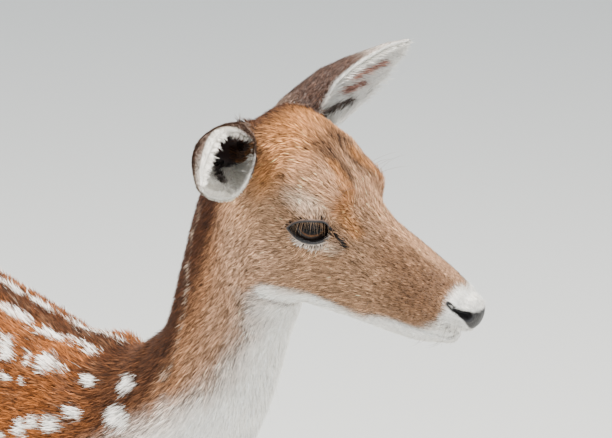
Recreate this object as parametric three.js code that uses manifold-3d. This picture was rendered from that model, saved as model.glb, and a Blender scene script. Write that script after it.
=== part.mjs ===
// A fallow deer doe at life size, standing square with her head turned to her left.
// Millimetres. X points the way the body faces, Y to the doe's left, Z up.

import * as THREE from "three";
import { mergeVertices } from "three/addons/utils/BufferGeometryUtils.js";
import Module from "manifold-3d";

const wasm = await Module();
wasm.setup();

// ---------------------------------------------------------------- driving dimensions

const GAP = 0.3; // clear space kept between neighbouring pieces
const FAR = 400; // longest reach from the middle of the body to its surface

const BACK = 788; // height of the withers line, coat included
const BRISKET = 460; // height of the underside of the chest
const CHEST_WIDTH = 224;

const EYES_AT = new THREE.Vector3(550, 60, 1000); // midway between the eyes
const HEAD_TURN = THREE.MathUtils.degToRad(27); // to the doe's left
const HEAD_DROP = THREE.MathUtils.degToRad(15.8); // the muzzle below level

const EYE = { forward: -10, side: 34, up: -9, radius: 17 };
const EAR = { length: 141, width: 56, thick: 4.6 };

const FORE_STEP = { left: 16, right: -10 }; // how far each forefoot is ahead of square
const HIND_STEP = { left: -12, right: 14 };
// The block each leg is cut from the trunk in, the height of its knee or hock, and the
// rings of its surface above and below that joint.
const FORELEG_CUT = {
  top: 500, inner: 34, back: 176, front: 302, joint: 281, upperRings: 10, lowerRings: 12,
};
const HINDLEG_CUT = {
  top: 524, inner: 0, back: -480, front: -178, joint: 330, upperRings: 10, lowerRings: 14,
};
const LEG_OUTSIDE = 190; // past the outside of either leg

const HOOF = { height: 37, sole: 54, heel: 18, width: 17.5, top: 33 };
const TAIL = { tip: 597.4, rings: 9, ringStep: 20, rays: 10, bend: 700 };
const DEWCLAW = { height: 97, behind: 17, side: 11, size: [6.5, 5.5, 10] };

const FORWARD = new THREE.Vector3(1, 0, 0);
const LEFTWARD = new THREE.Vector3(0, 1, 0);
const UPWARD = new THREE.Vector3(0, 0, 1);
const SIDES = { left: 1, right: -1 };

// ---------------------------------------------------------------- the head's own axes

const headForward = new THREE.Vector3(
  Math.cos(HEAD_TURN) * Math.cos(HEAD_DROP),
  Math.sin(HEAD_TURN) * Math.cos(HEAD_DROP),
  -Math.sin(HEAD_DROP),
);
const headLeft = new THREE.Vector3(-Math.sin(HEAD_TURN), Math.cos(HEAD_TURN), 0);
const headUp = new THREE.Vector3().crossVectors(headForward, headLeft);

// From forward, left and up of the eyes' midpoint to the body's axes.
function headDirection(forward, left, up) {
  return new THREE.Vector3()
    .addScaledVector(headForward, forward)
    .addScaledVector(headLeft, left)
    .addScaledVector(headUp, up);
}

function headPoint(forward, left, up) {
  return headDirection(forward, left, up).add(EYES_AT);
}

function inHead(point) {
  const from = point.clone().sub(EYES_AT);
  return new THREE.Vector3(from.dot(headForward), from.dot(headLeft), from.dot(headUp));
}

// ---------------------------------------------------------------- flesh as distances
// Each form is a function of a point that gives about how far it is outside the form.

// Sections square to an axis. A row is: place along the axis, shift to the side, shift
// up, half width, reach up, reach down, squareness (2 is round), how much wider the
// upper half is. Between rows the values run in smooth curves.
function loft(origin, axis, up, rows) {
  const along = axis.clone().normalize();
  const side = new THREE.Vector3().crossVectors(up, along).normalize();
  const rise = new THREE.Vector3().crossVectors(along, side);
  const last = rows.length - 1;
  const slopes = rows.map((row, i) => {
    const before = rows[Math.max(i - 1, 0)];
    const after = rows[Math.min(i + 1, last)];
    return row.map((value, k) => (after[k] - before[k]) / (after[0] - before[0]));
  });

  function sectionAt(s) {
    let i = 0;
    while (i < last - 1 && s > rows[i + 1][0]) i += 1;
    const span = rows[i + 1][0] - rows[i][0];
    const t = THREE.MathUtils.clamp((s - rows[i][0]) / span, 0, 1);
    const t2 = t * t;
    const t3 = t2 * t;
    return rows[i].map(
      (value, k) =>
        (2 * t3 - 3 * t2 + 1) * value +
        (t3 - 2 * t2 + t) * span * slopes[i][k] +
        (3 * t2 - 2 * t3) * rows[i + 1][k] +
        (t3 - t2) * span * slopes[i + 1][k],
    );
  }

  // How far out of the section a place is, as a share of the section's size, with the
  // square of its slope across the section and the section's smaller half size.
  function share(s, u, v) {
    const [, shiftSide, shiftUp, width, reachUp, reachDown, square, wider] = sectionAt(s);
    const down = v - shiftUp;
    const half = down > 0 ? reachUp : reachDown;
    const across = width * (1 + wider * THREE.MathUtils.clamp(down / half, -1, 1));
    const end = Math.min(across, half);
    const past = Math.max(rows[0][0] - s, 0) + Math.max(s - rows[last][0], 0);
    const a = Math.abs(u - shiftSide) / across;
    const b = Math.abs(down) / half;
    const out = (a ** square + b ** square + (past / end) ** square) ** (1 / square) + 1e-6;
    const slope = (a ** (square - 1) / across) ** 2 + (b ** (square - 1) / half) ** 2;
    return { out, slope: out ** (2 - 2 * square) * slope, end };
  }

  const distance = (point) => {
    const from = point.clone().sub(origin);
    const s = from.dot(along);
    const u = from.dot(side);
    const v = from.dot(rise);
    const here = share(s, u, v);
    const step = share(s + 1, u, v).out - here.out;
    return Math.max((here.out - 1) / Math.sqrt(here.slope + step * step + 1e-12), -here.end);
  };
  distance.middleAt = (s) => {
    const [, shiftSide, shiftUp] = sectionAt(s);
    const middle = origin.clone().addScaledVector(along, s);
    return middle.addScaledVector(side, shiftSide).addScaledVector(rise, shiftUp);
  };
  return distance;
}

function ball(centre, radii) {
  return (point) => {
    const from = point.clone().sub(centre).divide(radii);
    const out = from.length() + 1e-6;
    return (out * (out - 1)) / (from.divide(radii).length() + 1e-6);
  };
}

// A rod with round ends that tapers from one radius to the other.
function rod(start, end, startRadius, endRadius) {
  const run = end.clone().sub(start);
  return (point) => {
    const from = point.clone().sub(start);
    const t = THREE.MathUtils.clamp(from.dot(run) / run.lengthSq(), 0, 1);
    return from.addScaledVector(run, -t).length() - THREE.MathUtils.lerp(startRadius, endRadius, t);
  };
}

// Joins two distances with a fillet about as wide as the blend.
function blended(a, b, blend) {
  const near = Math.max(blend - Math.abs(a - b), 0) / blend;
  return Math.min(a, b) - near * near * blend * 0.25;
}

const at = (x, y, z) => new THREE.Vector3(x, y, z);

// A loft row from the top and the underside of the section there.
const upright = (s, top, under, width, middle, square, wider) => {
  const centre = under + (top - under) * middle;
  return [s, 0, centre, width, top - centre, centre - under, square, wider];
};

// ---------------------------------------------------------------- trunk and neck

const barrel = loft(at(0, 0, 0), FORWARD, UPWARD, [
  upright(-398, 745, 650, 42, 0.5, 2.2, 0),
  upright(-370, 784, 600, 64, 0.5, 2.2, -0.05),
  upright(-320, 804, 562, 84, 0.5, 2.2, -0.08),
  upright(-250, 809, 540, 94, 0.5, 2.2, -0.1),
  upright(-150, 799, 512, 102, 0.48, 2.2, -0.12),
  upright(-40, 788, 484, CHEST_WIDTH / 2, 0.46, 2.2, -0.14),
  upright(80, BACK, 466, CHEST_WIDTH / 2, 0.46, 2.2, -0.18),
  upright(180, BACK + 1, BRISKET, 99, 0.46, 2.2, -0.25),
  upright(250, BACK, 474, 84, 0.46, 2.1, -0.3),
  upright(310, 752, 512, 68, 0.45, 2.1, -0.3),
  upright(350, 715, 560, 52, 0.45, 2.1, -0.1),
]);

const neckFrom = at(250, 2, 660);
const neckRun = at(250, 43, 375);
const neckForm = loft(neckFrom, neckRun, at(-0.75, 0, 0.66), [
  [-20, 0, -10, 80, 100, 104, 2.2, -0.2],
  [70, -2, -32, 75, 102, 88, 2.2, -0.2],
  [150, -5, -48, 64, 87, 66, 2.1, -0.15],
  [225, -7, -50, 57, 70, 57, 2.05, -0.1],
  [295, -8, -36, 53, 76, 55, 2, -0.05],
  [355, -8, -20, 50, 79, 57, 2, 0],
  [410, -6, -8, 46, 73, 52, 2, 0],
  [450, 0, 0, 38, 46, 42, 2, 0],
]);

const shoulderForm = (hand) =>
  loft(at(205, hand * 42, 756), at(125, hand * 28, -162), at(1, 0, 0.5), [
    [0, 0, 0, 14, 30, 30, 2, 0],
    [70, hand * -4, 0, 24, 48, 46, 2, 0],
    [150, hand * -4, 0, 26, 48, 45, 2, 0],
    [215, 0, 0, 24, 30, 30, 2, 0],
  ]);

const tailForm = loft(at(0, 0, 0), UPWARD, at(-1, 0, 0), [
  [600, 0, 440, 8, 7, 7, 2, 0],
  [650, 0, 438, 12, 9, 10, 2, 0],
  [700, 0, 432, 14, 11, 13, 2, 0],
  [740, 0, 412, 16, 14, 22, 2, 0],
  [765, 0, 395, 18, 10, 20, 2, 0],
]);

// ---------------------------------------------------------------- legs
// A leg row is: height, how far forward, how far out, half width, reach to the front
// and to the back, and how much of the foot's step the leg has taken by there.

function legForm(hand, step, rows) {
  const lofted = rows.map(([height, forward, out, width, front, back, share]) => [
    height,
    -hand * out, // a leg section's side runs to the doe's right
    forward + step * share,
    width,
    front,
    back,
    2,
    0,
  ]);
  return loft(at(0, 0, 0), UPWARD, FORWARD, lofted);
}

const foreleg = (hand, step) =>
  legForm(hand, step, [
    [36, 274, 62, 17, 17, 16, 1],
    [58, 267, 62, 15, 13.5, 13, 1],
    [82, 257, 62, 14.5, 13, 14, 1],
    [104, 250, 62, 15.5, 14.5, 18, 1],
    [135, 247, 63, 12.5, 12, 15, 0.96],
    [190, 246, 64, 12.3, 11.5, 14, 0.92],
    [242, 246, 65, 14.5, 14, 16, 0.87],
    [266, 247, 66, 18, 19, 19.5, 0.85],
    [292, 247, 66, 18.5, 20, 19, 0.85],
    [320, 245, 67, 17, 19, 18, 0.8],
    [370, 242, 69, 19, 23, 22, 0.7],
    [430, 238, 72, 24, 30, 31, 0.55],
    [495, 238, 75, 30, 42, 46, 0.4],
    [560, 250, 74, 30, 52, 55, 0.2],
    [640, 262, 66, 26, 60, 62, 0],
  ]);

const hindleg = (hand, step) =>
  legForm(hand, step, [
    [36, -307, 62, 17, 17, 16, 1],
    [58, -314, 62, 15, 13.5, 13, 1],
    [84, -324, 62, 14.5, 13.5, 14, 1],
    [108, -331, 62, 15.5, 14.5, 18.5, 1],
    [150, -336, 63, 12.8, 12.5, 16, 0.98],
    [210, -341, 64, 12.8, 12.5, 16, 0.95],
    [265, -346, 65, 14.5, 15, 19, 0.92],
    [295, -350, 66, 17.5, 19, 23, 0.9],
    [325, -351, 67, 18, 21, 28, 0.9],
    [352, -345, 68, 16.5, 22, 34, 0.85],
    [378, -331, 69, 16.5, 26, 36, 0.8],
    [404, -314, 70, 19, 33, 36, 0.7],
    [440, -290, 72, 24, 44, 44, 0.5],
    [490, -270, 73, 32, 62, 62, 0.3],
    [550, -274, 70, 40, 82, 84, 0.2],
    [620, -290, 62, 40, 88, 92, 0.1],
    [700, -300, 50, 34, 66, 80, 0],
  ]);

const stifle = (hand) => rod(at(-205, hand * 72, 545), at(-215, hand * 75, 505), 34, 28);

// ---------------------------------------------------------------- head

const skull = loft(at(0, 0, 0), FORWARD, UPWARD, [
  upright(-96, 34, -34, 30, 0.5, 2, 0),
  upright(-76, 47, -70, 38, 0.55, 2, 0),
  upright(-48, 53, -87, 42, 0.55, 2, 0),
  upright(-20, 46, -90, 42, 0.55, 2, -0.05),
  upright(12, 30, -85, 37, 0.55, 2, -0.16),
  upright(42, 12, -79, 31, 0.5, 2, -0.18),
  upright(72, 2, -72, 27, 0.48, 2.1, -0.15),
  upright(100, -7, -68, 24, 0.48, 2.2, -0.1),
  upright(120, -15, -64, 21, 0.48, 2.2, -0.05),
  upright(131, -22, -57, 17, 0.5, 2.2, 0),
]);

const jaw = loft(at(0, 0, 0), FORWARD, UPWARD, [
  [-48, 0, -55, 26, 30, 34, 2, 0],
  [-30, 0, -68, 24, 24, 27, 2, 0],
  [0, 0, -77, 20, 20, 19, 2, 0],
  [40, 0, -77, 17, 14, 14, 2, 0],
  [76, 0, -75, 15.5, 11, 12, 2, 0],
  [104, 0, -71, 14, 10, 11, 2, 0],
  [123, 0, -65, 11.5, 8, 9, 2, 0],
]);

// Forms on each side of the head, each with the width of its blend.
const headSide = (hand) => [
  { form: ball(at(-8, hand * 30.5, -8), at(27, 12.5, 22)), blend: 18 }, // eye socket
  { form: rod(at(-26, hand * 29, 27.5), at(3, hand * 28, 21), 17, 12), blend: 24 }, // brow
  { form: rod(at(-62, hand * 31, -8), at(14, hand * 32, -20), 8, 8), blend: 22 }, // cheekbone
  { form: ball(at(-40, hand * 25, -44), at(38, 18, 38)), blend: 24 }, // jaw muscle
  { form: rod(at(-66, hand * 20, 22), at(-76, hand * 27, 28), 21, 15), blend: 28 }, // ear root
  { form: ball(at(120, hand * 11, -36), at(14, 10, 13)), blend: 8 }, // wing of the nostril
];

const headForms = [{ form: jaw, blend: 11 }, ...headSide(-1), ...headSide(1)];

function headField(point) {
  const local = inHead(point);
  return headForms.reduce((d, { form, blend }) => blended(d, form(local), blend), skull(local));
}

// ---------------------------------------------------------------- the whole body

const sideForms = Object.entries(SIDES).map(([name, hand]) => ({
  shoulder: shoulderForm(hand),
  fore: foreleg(hand, FORE_STEP[name]),
  hind: hindleg(hand, HIND_STEP[name]),
  stifle: stifle(hand),
}));

// Everything but the tail, the ears, the eyes and the hooves.
function bodyField(point) {
  let d = blended(barrel(point), neckForm(point), 70);
  sideForms.forEach((forms) => {
    d = blended(d, forms.shoulder(point), 40);
    d = blended(d, forms.fore(point), 30);
    d = blended(d, blended(forms.hind(point), forms.stifle(point), 40), 45);
  });
  return blended(d, headField(point), 26);
}

// ---------------------------------------------------------------- surfaces

// Distance from a point inside a field to its surface along a direction.
function reachOf(field, from, direction, limit) {
  let inside = 0;
  let outside = limit;
  for (let step = 0; step < 200; step += 1) {
    const value = field(from.clone().addScaledVector(direction, inside));
    const next = Math.min(inside + Math.max(-0.6 * value, 0.8), limit);
    if (field(from.clone().addScaledVector(direction, next)) > 0) {
      outside = next;
      break;
    }
    if (next === limit) {
      return limit;
    }
    inside = next;
  }
  for (let halving = 0; halving < 12; halving += 1) {
    const middle = (inside + outside) / 2;
    if (field(from.clone().addScaledVector(direction, middle)) > 0) {
      outside = middle;
    } else {
      inside = middle;
    }
  }
  return inside;
}

// Skins a row of rings, each a closed loop of points that runs anticlockwise seen from
// the ring after it. The ends close on the two given points.
function skin(rings, firstPoint, lastPoint) {
  const count = rings[0].length;
  const points = [...rings.flat(), firstPoint, lastPoint];
  const first = points.length - 2;
  const last = points.length - 1;
  const faces = [];
  for (let j = 0; j < count; j += 1) {
    const k = (j + 1) % count;
    const top = (rings.length - 1) * count;
    faces.push(first, k, j);
    faces.push(last, top + j, top + k);
    for (let i = 0; i < top; i += count) {
      faces.push(i + j, i + k, i + count + j);
      faces.push(i + k, i + count + k, i + count + j);
    }
  }
  const geometry = new THREE.BufferGeometry().setFromPoints(points);
  geometry.setIndex(faces);
  geometry.computeVertexNormals();
  return geometry;
}

// The loop where a field's surface meets a plane, by rays from the plane's middle.
function ringIn(field, frame, rays, limit = FAR) {
  return Array.from({ length: rays }, (unused, j) => {
    const angle = (2 * Math.PI * j) / rays;
    const ray = frame.side.clone().multiplyScalar(Math.cos(angle));
    ray.addScaledVector(frame.up, Math.sin(angle));
    return frame.middle.clone().addScaledVector(ray, reachOf(field, frame.middle, ray, limit));
  });
}

// A plane across the body: where it stands, the way it faces, and its side direction.
function plane(middle, facing, side) {
  const normal = facing.clone().normalize();
  const up = new THREE.Vector3().crossVectors(normal, side).normalize();
  return { middle, facing: normal, side: new THREE.Vector3().crossVectors(up, normal), up };
}

// Planes from one to another, the first included, the last left out.
function fan(from, to, count) {
  return Array.from({ length: count }, (unused, i) => {
    const t = i / count;
    return plane(
      from.middle.clone().lerp(to.middle, t),
      from.facing.clone().lerp(to.facing, t),
      from.side.clone().lerp(to.side, t),
    );
  });
}

const moved = (frame, distance) => ({
  ...frame,
  middle: frame.middle.clone().addScaledVector(frame.facing, distance),
});

function fleshPiece(field, frames, rays, roundStart, roundEnd) {
  const rings = frames.map((frame) => ringIn(field, frame, rays));
  const first = frames[0];
  const last = frames[frames.length - 1];
  const back = first.facing.clone().negate();
  const startReach = roundStart ? reachOf(field, first.middle, back, FAR) : 0;
  const endReach = roundEnd ? reachOf(field, last.middle, last.facing, FAR) : 0;
  return skin(
    rings,
    first.middle.clone().addScaledVector(back, startReach),
    last.middle.clone().addScaledVector(last.facing, endReach),
  );
}

// ---------------------------------------------------------------- cutting

function toSolid(geometry) {
  const bare = geometry.clone();
  bare.deleteAttribute("normal");
  bare.deleteAttribute("uv");
  const merged = mergeVertices(bare, 1e-4);
  return new wasm.Manifold(
    new wasm.Mesh({
      numProp: 3,
      vertProperties: new Float32Array(merged.getAttribute("position").array),
      triVerts: new Uint32Array(merged.getIndex().array),
    }),
  );
}

function toGeometry(solid) {
  const mesh = solid.getMesh();
  const geometry = new THREE.BufferGeometry();
  geometry.setAttribute("position", new THREE.BufferAttribute(mesh.vertProperties, 3));
  geometry.setIndex(new THREE.BufferAttribute(mesh.triVerts, 1));
  geometry.computeVertexNormals();
  return geometry;
}

function cutAway(geometry, ...cutters) {
  const cut = cutters.reduce((solid, cutter) => solid.subtract(toSolid(cutter)), toSolid(geometry));
  return toGeometry(cut);
}

function block(x, y, z) {
  const box = new THREE.BoxGeometry(x[1] - x[0], y[1] - y[0], z[1] - z[0]);
  return box.translate((x[0] + x[1]) / 2, (y[0] + y[1]) / 2, (z[0] + z[1]) / 2);
}

// ---------------------------------------------------------------- colours

const coat = (colour, roughness = 0.9) =>
  new THREE.MeshStandardMaterial({ color: colour, roughness, metalness: 0 });

const fawnFace = coat(0xb9906f);
const russetNeck = coat(0xa67a58);
const russetBack = coat(0x8f5630);
const darkTail = coat(0x3a2a20);
const paleLeg = coat(0xc3a184);
const earGrey = coat(0x9d8672);
const eyeBrown = coat(0x2a1a12, 0.08);
const hornBlack = coat(0x2b2622, 0.5);

const deer = new THREE.Group();

function addPiece(name, geometry, material) {
  const mesh = new THREE.Mesh(geometry, material);
  mesh.name = name;
  deer.add(mesh);
  return mesh;
}

// ---------------------------------------------------------------- planes along the body

const TRUNK_RAYS = 26;
const HEAD_RAYS = 26;
const LEG_RAYS = 10;

const rump = plane(at(-388, 0, 694), FORWARD, LEFTWARD);
const behindShoulder = plane(at(150, 0, 645), FORWARD, LEFTWARD);
const neckRoot = plane(at(338, 10, 716), at(0.6, 0.08, 0.8), at(-0.08, 1, 0));
const midNeck = plane(at(418, 21, 826), at(0.48, 0.09, 0.87), at(-0.2, 0.98, 0));
const highNeck = plane(headPoint(-90, -2, -98), headDirection(0.34, -0.05, 0.94), headLeft);
const nape = plane(headPoint(-56, 0, -26), headDirection(0.86, 0, 0.51), headLeft);
const eyeLine = plane(headPoint(0, 0, -32), headForward, headLeft);
const noseEnd = plane(headPoint(130, 0, -42), headForward, headLeft);

// ---------------------------------------------------------------- trunk

function legBox(cut, hand, clearance) {
  const inner = hand * (cut.inner - clearance);
  const outer = hand * LEG_OUTSIDE;
  return block(
    [cut.back - clearance, cut.front + clearance],
    [Math.min(inner, outer), Math.max(inner, outer)],
    [-1, cut.top + clearance],
  );
}

const trunkPlanes = [
  ...fan(rump, behindShoulder, 21),
  ...fan(behindShoulder, neckRoot, 9),
  moved(neckRoot, -GAP / 2),
];
const wholeTrunk = fleshPiece(bodyField, trunkPlanes, TRUNK_RAYS, true, false);
const legBoxes = [
  ...Object.values(SIDES).map((hand) => legBox(FORELEG_CUT, hand, GAP)),
  ...Object.values(SIDES).map((hand) => legBox(HINDLEG_CUT, hand, GAP)),
];
addPiece("trunk", cutAway(wholeTrunk, ...legBoxes), russetBack);

// ---------------------------------------------------------------- neck

const neckPlanes = [
  moved(neckRoot, GAP / 2),
  ...fan(neckRoot, midNeck, 5).slice(1),
  ...fan(midNeck, highNeck, 6),
  ...fan(highNeck, nape, 3),
  moved(nape, -GAP / 2),
];
addPiece("neck", fleshPiece(bodyField, neckPlanes, HEAD_RAYS, false, false), russetNeck);

// ---------------------------------------------------------------- head

const headPlanes = [
  moved(nape, GAP / 2),
  ...fan(nape, eyeLine, 8).slice(1),
  ...fan(eyeLine, noseEnd, 15),
  noseEnd,
];

const eyePlaces = Object.entries(SIDES).map(([name, hand]) => ({
  name,
  middle: headPoint(EYE.forward, hand * EYE.side, EYE.up),
}));

function eyeball(middle, radius) {
  return new THREE.SphereGeometry(radius, 16, 10).translate(middle.x, middle.y, middle.z);
}

const sockets = eyePlaces.map(({ middle }) => eyeball(middle, EYE.radius + 2 * GAP));
const wholeHead = fleshPiece(bodyField, headPlanes, HEAD_RAYS, false, true);
addPiece("head", cutAway(wholeHead, ...sockets), fawnFace);

eyePlaces.forEach(({ name, middle }) => {
  const eye = addPiece(`eye_${name}`, new THREE.SphereGeometry(EYE.radius, 16, 10), eyeBrown);
  eye.position.copy(middle);
});

// ---------------------------------------------------------------- ears
// Each ear is a curled leaf: an arc swept from root to tip. A row is: share of the
// length, radius of the arc, half its spread in degrees, how far the arc's middle
// stands toward the opening.

const EAR_ROWS = [
  [-0.12, 14.5, 173, -6],
  [0, 17, 173, -9],
  [0.07, 20, 173, -10],
  [0.15, 22, 167, -9],
  [0.3, 25, 131, -6],
  [0.45, EAR.width / 2, 104, -2],
  [0.6, 27, 89, 3],
  [0.75, 21.5, 78, 5],
  [0.88, 14.5, 69, 4],
  [0.97, 6.3, 67, 2],
  [1, 3.2, 67, 1],
];

function surfaceFaces(rows, columns, place, reversed) {
  const faces = [];
  for (let i = 0; i + 1 < rows; i += 1) {
    for (let j = 0; j + 1 < columns; j += 1) {
      const quad = [place(i, j), place(i + 1, j), place(i + 1, j + 1), place(i, j + 1)];
      if (reversed) {
        quad.reverse();
      }
      faces.push(quad[0], quad[1], quad[2], quad[0], quad[2], quad[3]);
    }
  }
  return faces;
}

// Closes two matching grids, one outside the other, along their four edges.
function leaf(outer, inner) {
  const rows = outer.length;
  const columns = outer[0].length;
  const out = (i, j) => i * columns + j;
  const into = (i, j) => rows * columns + i * columns + j;
  const border = [];
  for (let j = 0; j + 1 < columns; j += 1) {
    border.push([0, j + 1, 0, j], [rows - 1, j, rows - 1, j + 1]);
  }
  for (let i = 0; i + 1 < rows; i += 1) {
    border.push([i, 0, i + 1, 0], [i + 1, columns - 1, i, columns - 1]);
  }
  const rim = border.flatMap(([i, j, k, l]) => [
    out(k, l), out(i, j), into(i, j),
    out(k, l), into(i, j), into(k, l),
  ]);
  const geometry = new THREE.BufferGeometry().setFromPoints([...outer.flat(), ...inner.flat()]);
  geometry.setIndex([
    ...surfaceFaces(rows, columns, out, false),
    ...surfaceFaces(rows, columns, into, true),
    ...rim,
  ]);
  geometry.computeVertexNormals();
  return geometry;
}

function earShell(root, direction, opening) {
  const along = direction.clone().normalize();
  const open = opening.clone().addScaledVector(along, -opening.dot(along)).normalize();
  const side = new THREE.Vector3().crossVectors(along, open);
  const columns = 11;
  const grid = (inward) =>
    EAR_ROWS.map(([share, radius, spread, stand]) => {
      const middle = root.clone().addScaledVector(along, share * EAR.length);
      middle.addScaledVector(open, stand);
      return Array.from({ length: columns }, (unused, j) => {
        const angle = THREE.MathUtils.degToRad(spread) * ((2 * j) / (columns - 1) - 1);
        return middle
          .clone()
          .addScaledVector(open, -Math.cos(angle) * (radius - inward))
          .addScaledVector(side, Math.sin(angle) * (radius - inward));
      });
    });
  return leaf(grid(0), grid(EAR.thick));
}

// The head and neck in one, grown by the gap, to cut the ears' roots from.
const earSeat = fleshPiece(
  (point) => bodyField(point) - GAP,
  [...neckPlanes.slice(0, -1), ...headPlanes],
  HEAD_RAYS,
  false,
  true,
);
addPiece(
  "ear_left",
  cutAway(
    earShell(
      headPoint(-83, 27, 19.5),
      headDirection(0.39, 0.607, 0.693),
      headDirection(0.952, -0.277, -0.13),
    ),
    earSeat,
  ),
  earGrey,
);
addPiece(
  "ear_right",
  cutAway(
    earShell(
      headPoint(-88, -33.5, 35),
      headDirection(0.23, -0.969, 0.085),
      headDirection(0.84, 0.2, 0.48),
    ),
    earSeat,
  ),
  earGrey,
);

// ---------------------------------------------------------------- tail

const tailHeights = Array.from({ length: TAIL.rings }, (unused, i) => TAIL.tip + TAIL.ringStep * i);

// How far behind the body's middle the core of the tail runs, above and below its bend.
function tailRow(height) {
  const slope = height > TAIL.bend ? 0.5 : 0.06;
  return -432 + (height - TAIL.bend) * slope;
}

const tailPlanes = tailHeights.map((height) => plane(at(tailRow(height), 0, height), UPWARD, FORWARD));
const wholeTail = fleshPiece(tailForm, tailPlanes, TAIL.rays, true, true);
const tailSeat = fleshPiece((point) => bodyField(point) - GAP, trunkPlanes, TRUNK_RAYS, true, false);
addPiece("tail", cutAway(wholeTail, tailSeat), darkTail);

// ---------------------------------------------------------------- legs

// Rings up a leg between two heights, kept inside the block that is cut from the trunk.
function legPiece(leg, hand, cut, heights, growth = 0) {
  const field = (point) =>
    Math.max(
      bodyField(point) - growth,
      cut.inner + GAP / 2 - hand * point.y,
      cut.back - point.x,
      point.x - cut.front,
    );
  const planes = heights.map((height) => plane(leg.middleAt(height), UPWARD, FORWARD));
  return fleshPiece(field, planes, LEG_RAYS, false, false);
}

function heightsBetween(low, high, count) {
  return Array.from({ length: count + 1 }, (unused, i) => THREE.MathUtils.lerp(low, high, i / count));
}

// ---------------------------------------------------------------- hooves
// One claw of a cloven hoof: flat sole, straight inner wall, round heel, pointed toe.

function clawOutline(level, inward) {
  const toe = THREE.MathUtils.lerp(HOOF.sole - HOOF.heel, HOOF.top / 2, level);
  const heel = THREE.MathUtils.lerp(-HOOF.heel, -HOOF.top / 2, level);
  const widest = 0.42;
  const wall = (u) =>
    u < widest
      ? Math.sqrt(1 - ((u - widest) / widest) ** 2)
      : (1 - ((u - widest) / (1 - widest)) ** 2) ** 0.7;
  const outline = [0.06, 0.45, 0.97].map((u) => new THREE.Vector2(heel + (toe - heel) * u, inward));
  [0.985, 0.88, 0.72, 0.52, 0.32, 0.14, 0.03].forEach((u) => {
    outline.push(new THREE.Vector2(heel + (toe - heel) * u, inward + 0.3 + HOOF.width * wall(u)));
  });
  return outline;
}

function claw(foot, facing) {
  const levels = [0, 0.12, 0.55, 1];
  const rings = levels.map((level) => {
    const height = HOOF.height * level;
    const ring = clawOutline(level, 0.9).map(({ x, y }) => at(foot.x + x, foot.y + facing * y, height));
    return facing > 0 ? ring : ring.reverse();
  });
  const middle = foot.y + (facing * HOOF.width) / 2;
  return skin(rings, at(foot.x, middle, 0), at(foot.x, middle, HOOF.height));
}

function dewclaw(leg, facing) {
  const place = leg.middleAt(DEWCLAW.height);
  const geometry = new THREE.SphereGeometry(1, 8, 6).scale(...DEWCLAW.size);
  return geometry.translate(
    place.x - DEWCLAW.behind,
    place.y + facing * DEWCLAW.side,
    DEWCLAW.height - DEWCLAW.size[2] / 2,
  );
}

function addLeg(name, leg, hand, cut) {
  const ankle = HOOF.height + GAP;
  const lower = heightsBetween(ankle, cut.joint - GAP / 2, cut.lowerRings);
  const upper = heightsBetween(cut.joint + GAP / 2, cut.top, cut.upperRings);
  addPiece(`${name}_upper`, legPiece(leg, hand, cut, upper), paleLeg);
  addPiece(`${name}_lower`, legPiece(leg, hand, cut, lower), paleLeg);
  const grown = legPiece(leg, hand, cut, lower, GAP);
  const foot = leg.middleAt(HOOF.height);
  [["outer", hand], ["inner", -hand]].forEach(([which, facing]) => {
    addPiece(`${name}_hoof_${which}`, claw(foot, facing), hornBlack);
    addPiece(`${name}_dewclaw_${which}`, cutAway(dewclaw(leg, facing), grown), hornBlack);
  });
}

Object.entries(SIDES).forEach(([side, hand], i) => {
  const { fore, hind } = sideForms[i];
  addLeg(`foreleg_${side}`, fore, hand, FORELEG_CUT);
  addLeg(`hindleg_${side}`, hind, hand, HINDLEG_CUT);
});

// The origin is on the floor, under the middle of the whole doe.
const extent = new THREE.Box3().setFromObject(deer);
const middle = extent.getCenter(new THREE.Vector3());
deer.position.set(-middle.x, -middle.y, -extent.min.z);

export default deer;
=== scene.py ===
"""A fallow deer doe at life size: one skin over the whole body, glass-bright eyes, horn
hooves, and a coat of fine tufts that lie the way the hair grows."""

import bpy
import numpy as np
from mathutils import Matrix, Vector


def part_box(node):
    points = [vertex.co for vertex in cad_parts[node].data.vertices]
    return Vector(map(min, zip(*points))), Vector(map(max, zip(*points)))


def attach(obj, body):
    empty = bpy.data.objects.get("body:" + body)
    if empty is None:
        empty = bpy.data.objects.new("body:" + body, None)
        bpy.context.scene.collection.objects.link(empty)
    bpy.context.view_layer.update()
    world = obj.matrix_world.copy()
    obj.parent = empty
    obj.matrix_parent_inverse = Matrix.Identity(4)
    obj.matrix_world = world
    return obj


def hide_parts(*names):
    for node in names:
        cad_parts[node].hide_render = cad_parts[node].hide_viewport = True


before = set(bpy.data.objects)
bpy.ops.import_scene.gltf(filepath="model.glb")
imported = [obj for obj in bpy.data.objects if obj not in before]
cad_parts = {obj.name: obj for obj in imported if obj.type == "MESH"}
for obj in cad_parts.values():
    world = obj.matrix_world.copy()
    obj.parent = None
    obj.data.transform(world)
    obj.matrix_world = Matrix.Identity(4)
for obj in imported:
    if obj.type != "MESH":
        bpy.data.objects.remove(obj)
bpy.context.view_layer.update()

MM = 0.001
random = np.random.default_rng(7)

# ------------------------------------------------------------------ places and sizes
# Millimetres on the doe's own axes: X the way the body faces, Y her left, Z up.

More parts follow.
